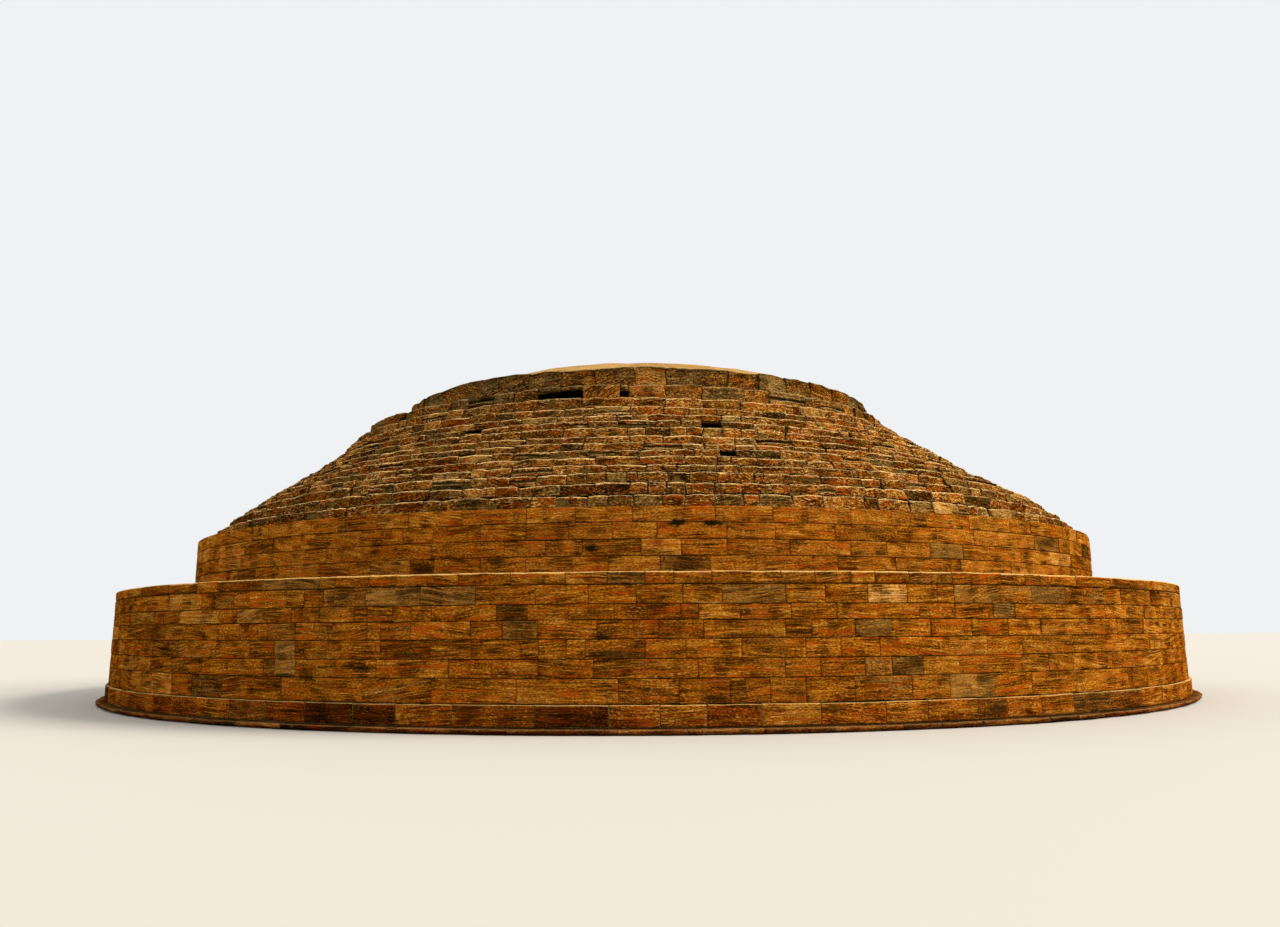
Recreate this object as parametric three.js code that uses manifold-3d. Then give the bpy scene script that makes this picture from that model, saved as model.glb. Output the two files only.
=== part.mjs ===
// A low circular stone stupa, one mass of masonry laid in level courses.
// From the ground up: a footing course with an eroded nose, a plinth course, a lower drum of six
// ashlar courses under a coping, a narrower upper drum of four ashlar courses, a dome of thirteen
// rubble courses that step in towards the top, a ring of two courses of larger blocks, and a low
// rounded cap of packed sand and lime.
//
// Millimetres, +Z up. The floor is z = 0, the axis of the lower drum is the Z axis, and the front
// of the stupa faces -Y. Angles around the axis are measured from the front towards +X.

import * as THREE from "three";
import { mergeVertices } from "three/addons/utils/BufferGeometryUtils.js";
import Module from "manifold-3d";

const wasm = await Module();
wasm.setup();

// Sides of the polygon that stands for each round course.
const COURSE_SIDES = 72;

// Footing and plinth
const FOOTING_RADIUS = 7606;
const FOOTING_HEIGHT = 53;
const FOOTING_NOSE_HEIGHT = 24;
const FOOTING_UNDERCUT = 46;
const FOOTING_WEAR = 12;
const PLINTH_RADIUS = 7500;
const PLINTH_HEIGHT = 193;
const PLINTH_EDGE = 14;

// Lower drum: six courses with a slight batter, then the coping that closes the ledge
const LOWER_DRUM_RADIUS = 7470;
const LOWER_DRUM_HEIGHTS = [212, 162, 168, 159, 137, 166];
const LOWER_DRUM_BATTER = 11;
const COPING_HEIGHT = 113;
const COPING_EDGE = 26;

// Upper drum: four courses, set slightly off the axis of the lower drum
const UPPER_DRUM_RADIUS = 6510;
const UPPER_DRUM_HEIGHTS = [197, 159, 161, 157];
const UPPER_DRUM_BATTER = 8;
const UPPER_DRUM_OFFSET = -45;

// Dome: the outer top edge of every course lies on a cone whose apex leans towards -X
const DOME_HEIGHTS = [150, 132, 138, 107, 113, 116, 98, 111, 123, 112, 111, 126, 170];
const DOME_APEX_HEIGHT = 6644;
const DOME_RADIUS_PER_RISE = 1.404;
const DOME_LEAN = -0.075;
const DOME_COURSE_BATTER = 18;

// Between its foot and a height, the dome bellies out past that cone, and more on the right
const BELLY = 92;
const BELLY_SHIFT = 50;
const BELLY_ENDS_AT = 2950;

// Top ring: two courses of larger blocks
const RING_LOWER_RADIUS = 3860;
const RING_LOWER_HEIGHT = 250;
const RING_UPPER_RADIUS = 3630;
const RING_UPPER_HEIGHT = 286;
const RING_OFFSET = -100;
const RING_BATTER = 14;

// The masonry swells out on the left side of the top, where its stones have slipped
const SWELL_ANGLE = -76;
const SWELL_HALF_WIDTH = 42;
const SWELL_DOME_12 = 75;
const SWELL_DOME_13 = 165;
const SWELL_RING_LOWER = 370;

// Cap: an elliptical mound inside the edge of the ring
const CAP_RADIUS = 3150;
const CAP_HEIGHT = 590;
const CAP_STEPS = 9;

// Points closer than this are one point, and points closer to the axis than this lie on it
const SAME_POINT = 0.01;
const AXIS_RADIUS = 1;

// Stones that have fallen out leave pockets. Each one has its course, its two ends as angles
// around the axis, its height above the course's bed, and its own height.
const POCKET_DEPTH = 300;
const POCKETS = [
  { course: "dome_course_06", from: 9.7, to: 11.7, above: 36, height: 48 },
  { course: "dome_course_10", from: 9.4, to: 12.2, above: 34, height: 58 },
  { course: "dome_course_10", from: -25.8, to: -22.4, above: 45, height: 55 },
  { course: "ring_course_lower", from: -18.1, to: -9.2, above: 100, height: 96 },
  { course: "ring_course_lower", from: -34.1, to: -27.8, above: 165, height: 62 },
];

const stoneMaterial = (color, roughness) =>
  new THREE.MeshStandardMaterial({ color, roughness, metalness: 0 });
const FOOTING_STONE = stoneMaterial(0x7a4a26, 0.95);
const PLINTH_STONE = stoneMaterial(0xa4602c, 0.9);
const DRUM_STONE = stoneMaterial(0xb06a2e, 0.88);
const COPING_STONE = stoneMaterial(0xb9794a, 0.9);
const RUBBLE_STONE = stoneMaterial(0x94562b, 0.95);
const RING_STONE = stoneMaterial(0x7d5a3a, 0.95);
const CAP_SCREED = stoneMaterial(0xd2a878, 0.97);

const stupa = new THREE.Group();

// Turns a half section, listed from the bottom centre to the top centre, around the Z axis.
function turnedSolid(section) {
  const points = section.map(([radius, height]) => new THREE.Vector2(radius, height));
  const geometry = new THREE.LatheGeometry(points, COURSE_SIDES);
  geometry.rotateX(Math.PI / 2);
  return geometry;
}

// A plain course: a disc whose face leans in by its batter.
function plainCourse(radius, height, batter) {
  return turnedSolid([[0, 0], [radius + batter, 0], [radius, height], [0, height]]);
}

// A course whose upper outer edge is worn round.
function roundedCourse(radius, height, edge) {
  const shoulder = edge * (1 - Math.SQRT1_2);
  return turnedSolid([
    [0, 0],
    [radius, 0],
    [radius, height - edge],
    [radius - shoulder, height - shoulder],
    [radius - edge, height],
    [0, height],
  ]);
}

// The footing's nose is undercut at the ground and worn back at its top.
function footingCourse() {
  return turnedSolid([
    [0, 0],
    [FOOTING_RADIUS - FOOTING_UNDERCUT, 0],
    [FOOTING_RADIUS, FOOTING_NOSE_HEIGHT],
    [FOOTING_RADIUS - FOOTING_WEAR, FOOTING_HEIGHT],
    [0, FOOTING_HEIGHT],
  ]);
}

// The cap's half section is a quarter of an ellipse.
function capMound() {
  const section = [[0, 0]];
  for (let step = 0; step <= CAP_STEPS; step += 1) {
    const turn = (step / CAP_STEPS) * (Math.PI / 2);
    const radius = step === CAP_STEPS ? 0 : CAP_RADIUS * Math.cos(turn);
    section.push([radius, CAP_HEIGHT * Math.sin(turn)]);
  }
  return turnedSolid(section);
}

// Pushes the rim of a course outwards around the swell, by most at its middle.
function swell(geometry, amount) {
  const position = geometry.attributes.position;
  const middle = THREE.MathUtils.degToRad(SWELL_ANGLE);
  const halfWidth = THREE.MathUtils.degToRad(SWELL_HALF_WIDTH);
  for (let index = 0; index < position.count; index += 1) {
    const x = position.getX(index);
    const y = position.getY(index);
    const radius = Math.hypot(x, y);
    const away = Math.abs(Math.atan2(x, -y) - middle) / halfWidth;
    if (radius > AXIS_RADIUS && away < 1) {
      const push = 1 + (amount * Math.cos((away * Math.PI) / 2) ** 2) / radius;
      position.setX(index, x * push);
      position.setY(index, y * push);
    }
  }
  return geometry;
}

function toSolid(geometry) {
  const bare = geometry.clone();
  bare.deleteAttribute("normal");
  bare.deleteAttribute("uv");
  const merged = mergeVertices(bare, SAME_POINT);
  const corners = merged.index.array;
  const triangles = [];
  for (let first = 0; first < corners.length; first += 3) {
    const [a, b, c] = corners.slice(first, first + 3);
    if (a !== b && b !== c && c !== a) {
      triangles.push(a, b, c);
    }
  }
  const mesh = new wasm.Mesh({
    numProp: 3,
    vertProperties: new Float32Array(merged.attributes.position.array),
    triVerts: new Uint32Array(triangles),
  });
  return new wasm.Manifold(mesh);
}

function toGeometry(solid) {
  const mesh = solid.getMesh();
  const geometry = new THREE.BufferGeometry();
  geometry.setAttribute("position", new THREE.BufferAttribute(mesh.vertProperties, 3));
  geometry.setIndex(new THREE.BufferAttribute(mesh.triVerts, 1));
  geometry.computeVertexNormals();
  return geometry;
}

// Cuts a course's pockets into its face.
function cutPockets(geometry, radius, pockets) {
  let solid = toSolid(geometry);
  for (const pocket of pockets) {
    const middle = THREE.MathUtils.degToRad((pocket.from + pocket.to) / 2);
    const halfSpan = THREE.MathUtils.degToRad((pocket.to - pocket.from) / 2);
    const width = 2 * radius * Math.sin(halfSpan);
    const box = new THREE.BoxGeometry(width, 2 * POCKET_DEPTH, pocket.height);
    box.translate(0, -radius, pocket.above + pocket.height / 2);
    box.rotateZ(middle);
    solid = solid.subtract(toSolid(box));
  }
  return toGeometry(solid);
}

let bed = 0;

// Lays a course on the one below it and raises the bed by its height.
function lay(name, geometry, material, height, offset = 0) {
  const mesh = new THREE.Mesh(geometry, material);
  mesh.name = name;
  mesh.position.set(offset, 0, bed);
  stupa.add(mesh);
  bed += height;
}

const twoDigits = (number) => String(number).padStart(2, "0");
const pocketsOf = (name) => POCKETS.filter((pocket) => pocket.course === name);

// Footing and plinth
lay("footing_course", footingCourse(), FOOTING_STONE, FOOTING_HEIGHT);
lay("plinth_course", roundedCourse(PLINTH_RADIUS, PLINTH_HEIGHT, PLINTH_EDGE), PLINTH_STONE, PLINTH_HEIGHT);

// Lower drum and coping
const lowerBatter = LOWER_DRUM_BATTER / LOWER_DRUM_HEIGHTS.length;
LOWER_DRUM_HEIGHTS.forEach((height, index) => {
  const radius = LOWER_DRUM_RADIUS - lowerBatter * (index + 1);
  const name = `lower_drum_course_${index + 1}`;
  lay(name, plainCourse(radius, height, lowerBatter), DRUM_STONE, height);
});
const copingRadius = LOWER_DRUM_RADIUS - LOWER_DRUM_BATTER;
lay("coping_course", roundedCourse(copingRadius, COPING_HEIGHT, COPING_EDGE), COPING_STONE, COPING_HEIGHT);

// Upper drum
const upperBatter = UPPER_DRUM_BATTER / UPPER_DRUM_HEIGHTS.length;
UPPER_DRUM_HEIGHTS.forEach((height, index) => {
  const radius = UPPER_DRUM_RADIUS - upperBatter * (index + 1);
  const name = `upper_drum_course_${index + 1}`;
  lay(name, plainCourse(radius, height, upperBatter), DRUM_STONE, height, UPPER_DRUM_OFFSET);
});

// Dome
const domeBase = bed;
const domeSwell = { dome_course_12: SWELL_DOME_12, dome_course_13: SWELL_DOME_13 };
DOME_HEIGHTS.forEach((height, index) => {
  const name = `dome_course_${twoDigits(index + 1)}`;
  const topEdge = bed + height;
  const wayUp = Math.min((topEdge - domeBase) / (BELLY_ENDS_AT - domeBase), 1);
  const belly = Math.sin(Math.PI * wayUp);
  const radius = DOME_RADIUS_PER_RISE * (DOME_APEX_HEIGHT - topEdge) + BELLY * belly;
  const offset = UPPER_DRUM_OFFSET + DOME_LEAN * (topEdge - domeBase) + BELLY_SHIFT * belly;
  let course = plainCourse(radius, height, DOME_COURSE_BATTER);
  if (name in domeSwell) {
    course = swell(course, domeSwell[name]);
  }
  const pockets = pocketsOf(name);
  if (pockets.length > 0) {
    course = cutPockets(course, radius, pockets);
  }
  lay(name, course, RUBBLE_STONE, height, offset);
});

// Ring and cap
let ringLower = plainCourse(RING_LOWER_RADIUS, RING_LOWER_HEIGHT, RING_BATTER);
ringLower = swell(ringLower, SWELL_RING_LOWER);
ringLower = cutPockets(ringLower, RING_LOWER_RADIUS, pocketsOf("ring_course_lower"));
lay("ring_course_lower", ringLower, RING_STONE, RING_LOWER_HEIGHT, RING_OFFSET);
const ringUpper = plainCourse(RING_UPPER_RADIUS, RING_UPPER_HEIGHT, RING_BATTER);
lay("ring_course_upper", ringUpper, RING_STONE, RING_UPPER_HEIGHT, RING_OFFSET);
lay("cap_mound", capMound(), CAP_SCREED, CAP_HEIGHT, RING_OFFSET);

export default stupa;
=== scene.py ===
# %% [markdown]
# # A low stone stupa
# This lesson dresses a solid model of a round stupa in its real masonry. The model gives every
# course of stone as a plain disc. Here each disc is replaced by its stones, one by one, with the
# joints, the worn edges and the holes where stones have fallen out.

# %% Load the model
import itertools
import math
from types import SimpleNamespace

import bpy
import numpy as np
from mathutils import Matrix, Vector


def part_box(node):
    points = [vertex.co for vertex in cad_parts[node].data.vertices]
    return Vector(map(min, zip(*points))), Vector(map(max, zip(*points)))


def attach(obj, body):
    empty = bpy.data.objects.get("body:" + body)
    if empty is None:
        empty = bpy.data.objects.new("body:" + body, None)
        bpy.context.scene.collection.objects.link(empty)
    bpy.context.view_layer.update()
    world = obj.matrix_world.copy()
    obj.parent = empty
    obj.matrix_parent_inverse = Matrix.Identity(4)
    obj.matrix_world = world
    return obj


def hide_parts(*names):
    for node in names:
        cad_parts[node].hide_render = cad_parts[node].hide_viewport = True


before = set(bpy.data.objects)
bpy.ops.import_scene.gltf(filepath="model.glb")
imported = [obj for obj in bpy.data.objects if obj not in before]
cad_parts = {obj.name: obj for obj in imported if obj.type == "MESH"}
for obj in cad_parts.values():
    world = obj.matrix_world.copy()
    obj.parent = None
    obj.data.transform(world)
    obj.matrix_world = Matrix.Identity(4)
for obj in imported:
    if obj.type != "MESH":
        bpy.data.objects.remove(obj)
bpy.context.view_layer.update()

# %% [markdown]
# The camera comes first, because every later choice is judged through it. The photograph was
# taken from low down, close to the wall, with the lens tilted up. Its place and tilt are
# worked out from the level courses: circles of known height have to fall on their lines.

# %% The camera
PHOTO_WIDTH = 1280
FOCAL_LENGTH_IN_PIXELS = 1018.1
SENSOR_WIDTH_MM = 36.0
EYE = Vector((0.0, -16.198, 0.862))
TILT_UP = math.radians(9.282)
TURN_RIGHT = math.radians(-0.305)
ROLL = math.radians(-0.360)
FARTHEST_SEEN = 500.0

lens = bpy.data.cameras.new("photo_camera")
lens.sensor_fit = "HORIZONTAL"
lens.sensor_width = SENSOR_WIDTH_MM
lens.lens = FOCAL_LENGTH_IN_PIXELS / PHOTO_WIDTH * SENSOR_WIDTH_MM
lens.clip_end = FARTHEST_SEEN
camera = bpy.data.objects.new("photo_camera", lens)
turn = Matrix.Rotation(-TURN_RIGHT, 4, "Z")
tilt = Matrix.Rotation(math.pi / 2 + TILT_UP, 4, "X")
camera.matrix_world = Matrix.Translation(EYE) @ turn @ tilt @ Matrix.Rotation(ROLL, 4, "Z")
bpy.context.scene.collection.objects.link(camera)
bpy.context.scene.camera = camera
to_camera = camera.matrix_world.inverted()
print(f"lens {lens.lens:.1f} mm")

# %% [markdown]
# Everything on a round building has an angle, a reach from the axis and a level. Angles start at
# the front, which faces -Y, and grow towards +X. This helper turns the three into a point, or
# three lists of them into a list of points.


# %% A point around an axis
def around(axis_x, angle, reach, level):
    """The points at some angles, reaches and levels around an upright axis."""
    return np.stack([axis_x + reach * np.sin(angle), -reach * np.cos(angle), level], -1)


# %% [markdown]
# Some blocks stand out in the photograph: a nearly black one, a pale one, a gap. They are noted
# by their pixel columns. The helper below turns a column into an angle around the stupa. It
# halves the range of angles again and again, until the point there lands on that column.

# %% From a pixel column to an angle
HALVINGS = 30


def column_of(angle, radius, height, axis_x):
    """The photograph's pixel column of a point on the front of a course."""
    seen = to_camera @ Vector(around(axis_x, angle, radius, height))
    return PHOTO_WIDTH / 2 - FOCAL_LENGTH_IN_PIXELS * seen.x / seen.z


def angle_at(column, course):
    """The angle around a course, from the front towards +X, that shows on a pixel column."""
    left = -math.acos(course.radius / -EYE.y)
    right = -left
    for _ in range(HALVINGS):
        middle = (left + right) / 2
        if column_of(middle, course.radius, course.top, course.axis_x) < column:
            left = middle
        else:
            right = middle
    return (left + right) / 2


# %% [markdown]
# Stone is never smooth, so most shapes below are disturbed by noise. This one is made of random
# values at the corners of a grid, blended in between. It takes a whole list of points at once,
# which is much faster than asking for them one at a time.

# %% Noise for shapes
GRID_PRIMES = (73856093, 19349663, 83492791)
MIX_PRIME = 1274126177
MIX_SHIFT = 13
HIGH_BITS = 16
LOW_BITS = 0xFFFF


def grid_noise(points, size, seed):
    """Smooth noise from -1 to 1 at each point, with bumps about `size` metres wide."""
    scaled = points / size
    cell = np.floor(scaled).astype(np.int64)
    part = scaled - cell
    smooth = part * part * (3 - 2 * part)
    total = np.zeros(len(points))
    for corner in itertools.product((0, 1), repeat=3):
        code = np.full(len(points), seed * MIX_PRIME % GRID_PRIMES[0], np.int64)
        weight = np.ones(len(points))
        for axis in range(3):
            code ^= (cell[:, axis] + corner[axis]) * GRID_PRIMES[axis]
            weight *= smooth[:, axis] if corner[axis] else 1 - smooth[:, axis]
        code = (code ^ (code >> MIX_SHIFT)) * MIX_PRIME
        value = ((code >> HIGH_BITS) & LOW_BITS) / (LOW_BITS / 2) - 1
        total += weight * value
    return total


def rough_noise(points, size, seed, layers=3):
    """Several sizes of noise on top of each other, each half as large and half as strong."""
    total = np.zeros(len(points))
    for layer in range(layers):
        total += grid_noise(points, size / 2**layer, seed + layer) / 2**layer
    return total


test_points = np.random.default_rng(seed=1).uniform(low=0, high=9, size=(2000, 3))
sample = grid_noise(test_points, size=1.0, seed=5)
print(f"noise runs from {sample.min():.2f} to {sample.max():.2f}")

# %% [markdown]
# Every size comes from the model's own discs: where a course starts and ends, where its axis is,
# and how far its rim reaches at each angle, which isn't the same all round where the top swells.

# %% Read a course from its disc
SAME_LEVEL = 0.001
UPRIGHT = ("footing_course", "plinth_course", "coping_course", "cap_mound")


def read_rim(around_axis, reach, chosen):
    """The chosen points of a rim, in their order around the course."""
    order = np.argsort(around_axis[chosen])
    return around_axis[chosen][order], reach[chosen][order]


def read_course(node):
    """Heights, axis and rim of a course. The swelling never reaches the right or the back."""
    low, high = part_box(node)
    points = np.array([vertex.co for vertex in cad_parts[node].data.vertices])
    radius = (high.y - low.y) / 2
    axis_x = high.x - radius
    angles = np.arctan2(points[:, 0] - axis_x, -points[:, 1])
    reach = np.hypot(points[:, 0] - axis_x, points[:, 1])
    outside = reach > reach.max() / 2
    foot = read_rim(angles, reach, outside & (points[:, 2] < low.z + SAME_LEVEL))
    head = read_rim(angles, reach, outside & (points[:, 2] > high.z - SAME_LEVEL))
    return SimpleNamespace(
        node=node,
        base=low.z,
        top=high.z,
        axis_x=axis_x,
        radius=radius,
        foot=foot,
        lean=0.0 if node in UPRIGHT else float(foot[1].min() - head[1].min()),
        overhang=float(reach.max() - foot[1].max()),
    )


def rise_of(course, level):
    """A level as a share of a course's height."""
    return (level - course.base) / (course.top - course.base)


def face_radius(course, angle, rise):
    """How far the face of a course reaches at an angle and at a share of its height."""
    foot = np.interp(angle, course.foot[0], course.foot[1], period=2 * math.pi)
    return foot + course.overhang - course.lean * rise


courses = {node: read_course(node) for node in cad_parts}
stack = sorted(courses.values(), key=lambda course: course.base)
for course in stack:
    print(f"{course.node:22s} {course.base:.3f} to {course.top:.3f} m, radius {course.radius:.3f} m")

# %% [markdown]
# A mason fills a course with blocks of uneven length. Blocks that must stay where the photograph
# shows them are given first, and the rest of the circle is shared out between them.


# %% Share a course out into blocks
def share_out(rng, radius, shortest, longest, fixed=()):
    """The start and end angle of every block of a course. Blocks in `fixed` stay whole."""
    kept = sorted((block.start, block.end) for block in fixed)
    if kept:
        starts = [block[1] for block in kept]
        ends = [block[0] for block in kept[1:]] + [kept[0][0] + 2 * math.pi]
    else:
        starts = [rng.uniform(0, 1)]
        ends = [starts[0] + 2 * math.pi]
    blocks = list(kept)
    for start, end in zip(starts, ends):
        length = (end - start) * radius
        if length < shortest / 2:
            continue
        count = round(length / ((shortest + longest) / 2))
        shares = rng.uniform(shortest, longest, max(count, 1))
        joints = start + (end - start) * np.concatenate([[0], np.cumsum(shares) / shares.sum()])
        blocks += list(zip(joints[:-1], joints[1:]))
    return sorted(blocks)


test_blocks = share_out(np.random.default_rng(seed=2), radius=7.0, shortest=0.3, longest=0.8)
print(f"a plain course 14 m across takes {len(test_blocks)} blocks")

# %% [markdown]
# One block is a sheet folded round the front of a box, like wrapping paper: over the worn edges
# to its sides, its bed and its top, with a flat back to close it. All blocks of a course have the
# same number of points, so one template of faces serves them all. At the corners of the sheet
# three points fall together, as the paper is cut away there.


# %% The faces of a folded sheet
def template(rows, columns):
    """The points that a folded sheet keeps, and its faces, with a back that closes it."""
    number = np.arange(rows * columns).reshape(rows, columns)
    for row, column in itertools.product((0, rows - 1), (0, columns - 1)):
        inner_row = 1 if row == 0 else rows - 2
        inner_column = 1 if column == 0 else columns - 2
        number[row, inner_column] = number[row, column]
        number[inner_row, column] = number[row, column]
    faces = []
    for row, column in itertools.product(range(rows - 1), range(columns - 1)):
        square = [number[row, column], number[row, column + 1]]
        square += [number[row + 1, column + 1], number[row + 1, column]]
        corners = list(dict.fromkeys(square))
        if len(corners) > 2:
            faces.append(corners)
    sides = (number[0, :], number[1:, -1], number[-1, -2::-1], number[-2:0:-1, 0])
    rim = dict.fromkeys(corner for side in sides for corner in side)
    faces.append(list(rim)[::-1])
    kept = sorted({corner for face in faces for corner in face})
    renumber = {old: new for new, old in enumerate(kept)}
    return kept, [[renumber[corner] for corner in face] for face in faces]


kept, faces = template(rows=9, columns=9)
print(f"a sheet of 9 by 9 lines keeps {len(kept)} points and {len(faces)} faces")

# %% [markdown]
# The lines of the sheet are not evenly spaced. Three of them lie close together round each worn
# edge, which takes a curve, and a few are spread over the face, which is nearly flat.

# %% Where the lines of a sheet lie
WORN_SHARE = 0.3
SKIRT = 0.015
LARGEST_SKIRT = 0.25
NEAR_EDGE_BEHIND = 0.4


def fold(size, edge, back, inner, steps_back):
    """Lines across a block: (place along its size, depth behind its face, nearness to an edge)."""
    nothing = np.zeros_like(size)
    worn = WORN_SHARE * edge
    inside = edge + np.minimum(SKIRT, LARGEST_SKIRT * (size - 2 * edge))
    span = size - 2 * inside
    across = [inside + span * share for share in np.linspace(0, 1, inner)]
    place = [nothing, nothing, worn, edge, *across, size - edge, size - worn, size]
    depth = [back, edge, worn] + [nothing] * (inner + 2) + [worn, edge]
    near = [1, 1, 1, 1] + [0] * inner + [1, 1, 1]
    for step in range(steps_back):
        place.append(size)
        depth.append(back * (step + 1) / steps_back)
        near.append(NEAR_EDGE_BEHIND)
    return np.stack(place, 1), np.stack(depth, 1), np.array(near, float)


# %% [markdown]
# The points of all the blocks of a course are worked out together. `s` runs along a block, `v` up
# its face and `depth` back from it. Where a side and a bed meet, the two depths are blended, so
# that the corner of the block is as round as its edges.

# %% Lay a sheet round every block
EDGE_TO_HEIGHT = 1 / 3
ROUND_TO = 1.5
ROUNDNESS = 3
ALMOST = 0.999


def lay_sheets(course, note, style):
    """Every point's place in its own block, the faces of one sheet and its number of points."""
    length = (note["end"] - note["start"]) * course.radius - style.side_joint
    height = note["high"] - note["low"] - style.joint
    edge = np.minimum(style.edge * note["wear"], EDGE_TO_HEIGHT * height)
    sides = np.full_like(length, style.side)
    side_edge = edge * style.side_wear
    along, side_depth, side_near = fold(length, side_edge, sides, style.columns, steps_back=1)
    up, bed_depth, bed_near = fold(height, edge, note["back"], style.rows, style.steps)
    kept, faces = template(up.shape[1], along.shape[1])
    shape = (len(length), up.shape[1], along.shape[1])

    def points_of(grid):
        return np.broadcast_to(grid, shape).reshape(len(length), -1)[:, kept].reshape(-1)

    numbers = {"number": np.arange(len(length)), "length": length, "height": height, "edge": edge}
    values = {**note, **numbers}
    at = SimpleNamespace(**{key: points_of(value[:, None, None]) for key, value in values.items()})
    at.s, at.v = points_of(along[:, None, :]), points_of(up[:, :, None])
    at.near = points_of(np.maximum(side_near[None, None, :], bed_near[None, :, None]))
    side, bed = points_of(side_depth[:, None, :]), points_of(bed_depth[:, :, None])
    deepest = np.maximum(side, bed)
    rounded = (side**ROUNDNESS + bed**ROUNDNESS) ** (1 / ROUNDNESS)
    at_back = (side >= ALMOST * style.side) | (bed >= ALMOST * at.back)
    at.depth = np.where(at_back, at.back, np.where(deepest > ROUND_TO * at.edge, deepest, rounded))
    return at, faces, len(kept)


# %% [markdown]
# No block is laid quite true. Its outline wobbles, its joints slant, it tips a little, and the top
# corners of a worn one have rounded off, so that its upper edge arches.

# %% The small errors of a block
MIDDLE = 0.5


def move_points(course, at, style, seed):
    """The angle and the level of every point, with the errors of its block."""
    wobble = style.wobble * at.free
    slant = at.start_slant * (1 - at.share) + at.end_slant * at.share
    s = at.s + wobble * rough_noise(at.local, style.wobble_size, seed + 1, layers=2)
    s = s + slant * (at.rise - MIDDLE) * at.free
    v = at.v + wobble * rough_noise(at.local, style.wobble_size, seed + 2, layers=2)
    angle = at.start + (s + style.side_joint / 2) / course.radius
    level = at.low + v + style.joint / 2 + at.tip * (at.s - at.length / 2)
    upper_part = np.clip(2 * at.rise - 1, 0, 1)
    return angle, level - style.arch * at.wear * (2 * at.share - 1) ** 2 * upper_part


# %% [markdown]
# Now the face itself gets its relief. Each block has a place of its own in the noise, so no two
# have the same bumps. Two notes are kept on every point for the materials: `grain`, its place
# inside its own block, and `stone`, the block's tone, warmth and soot and how near the point is
# to an edge. The rim of the top ring is dark with lichen, and the same soot note says so.

# %% Shape the blocks of a course
SEED_STEP = 7.31
FREE_DEPTH = 0.6
LOWEST_POINT = 0.001
UNDERCUT_HEIGHT = 0.03
UNDERCUT_POWER = 1.5
RAGGED_UNDERCUT = 0.5
LICHEN_FROM = 0.78
LICHEN_SPAN = 0.17


def undercut_share(above):
    """How much of a style's undercut is left at a height above the course's bed."""
    return np.clip(1 - above / UNDERCUT_HEIGHT, 0, 1) ** UNDERCUT_POWER


def shape_blocks(course, blocks, style, seed):
    """Points, faces and the two notes of all the blocks of a course."""
    note = {key: np.array([block[key] for block in blocks], float) for key in blocks[0]}
    at, faces, count = lay_sheets(course, note, style)
    at.share, at.rise = at.s / at.length, at.v / at.height
    at.free = 1 - np.clip(at.depth / (FREE_DEPTH * at.back), 0, 1)
    offset = at.number * SEED_STEP + seed
    at.local = np.stack([at.s + offset, at.v, at.depth], 1)
    relief = rough_noise(at.local, style.relief_size, seed + 3)
    lean = at.swing * (at.share - MIDDLE) + at.nod * (at.rise - MIDDLE)
    out = np.maximum(at.proud + at.free * (style.relief * relief + lean), -style.hollow)
    angle, level = move_points(course, at, style, seed)
    reach = face_radius(course, angle, rise_of(course, level)) - style.inset + out - at.depth
    undercut = style.undercut * undercut_share(level - course.base)
    reach -= undercut * (1 + RAGGED_UNDERCUT * relief)
    points = around(course.axis_x, angle, reach, np.clip(level, LOWEST_POINT, None))
    cosine, sine = np.cos(at.bedding), np.sin(at.bedding)
    tilted = (at.s * cosine - at.v * sine + offset, at.s * sine + at.v * cosine, at.depth)
    lichen = style.lichen * np.clip((at.rise - LICHEN_FROM) / LICHEN_SPAN, 0, 1)
    stone = np.stack([at.tone, at.warmth, np.maximum(at.soot, lichen), at.near], 1)
    starts = range(0, len(blocks) * count, count)
    block_faces = [[start + corner for corner in face] for start in starts for face in faces]
    return points, block_faces, np.stack(tilted, 1), stone


# %% [markdown]
# Behind the blocks lies the core: mortar near the face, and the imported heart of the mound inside.
# It is a disc a little smaller than its course, so that it fills the joints without reaching the
# face. A fine line of points on each side of a hole's edges lets its wall step in sharply there.

# %% The grid of a core
CORE_SIDES = 144
CORE_LEVELS = 5
EDGE_SLIVER = 0.0008
BED_SHADE = 0.02


def core_grid(course, style, holes):
    """The angles and the levels at which the wall of a core has its points."""
    angles = set(np.linspace(-math.pi, math.pi, CORE_SIDES, endpoint=False))
    low, high = course.base, course.top - style.sunk - 2 * style.wave
    levels = set(np.linspace(low, high, CORE_LEVELS)) | {low + BED_SHADE, high - BED_SHADE}
    for hole in holes:
        angles |= {hole.start - EDGE_SLIVER, hole.start, hole.end, hole.end + EDGE_SLIVER}
        levels |= {hole.low - EDGE_SLIVER, hole.low, hole.high, hole.high + EDGE_SLIVER}
    levels = {level for level in levels if low <= level <= high}
    return np.array(sorted(angles)), np.array(sorted(levels))


def disc_faces(turns, rows):
    """The faces of a disc: a wall of squares, a top and an underside."""
    feet = list(range(0, turns * rows, rows))
    faces = []
    for here, there in zip(feet, feet[1:] + feet[:1]):
        for row in range(rows - 1):
            faces.append([here + row, there + row, there + row + 1, here + row + 1])
    return [*faces, [foot + rows - 1 for foot in feet], feet[::-1]]


def in_hole(hole, angle, level, margin=0.0):
    """Which points of a wall lie in a hole, or within a margin around it."""
    beside = (angle >= hole.start - margin) & (angle <= hole.end + margin)
    return beside & (level >= hole.low - margin) & (level <= hole.high + margin)
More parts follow.
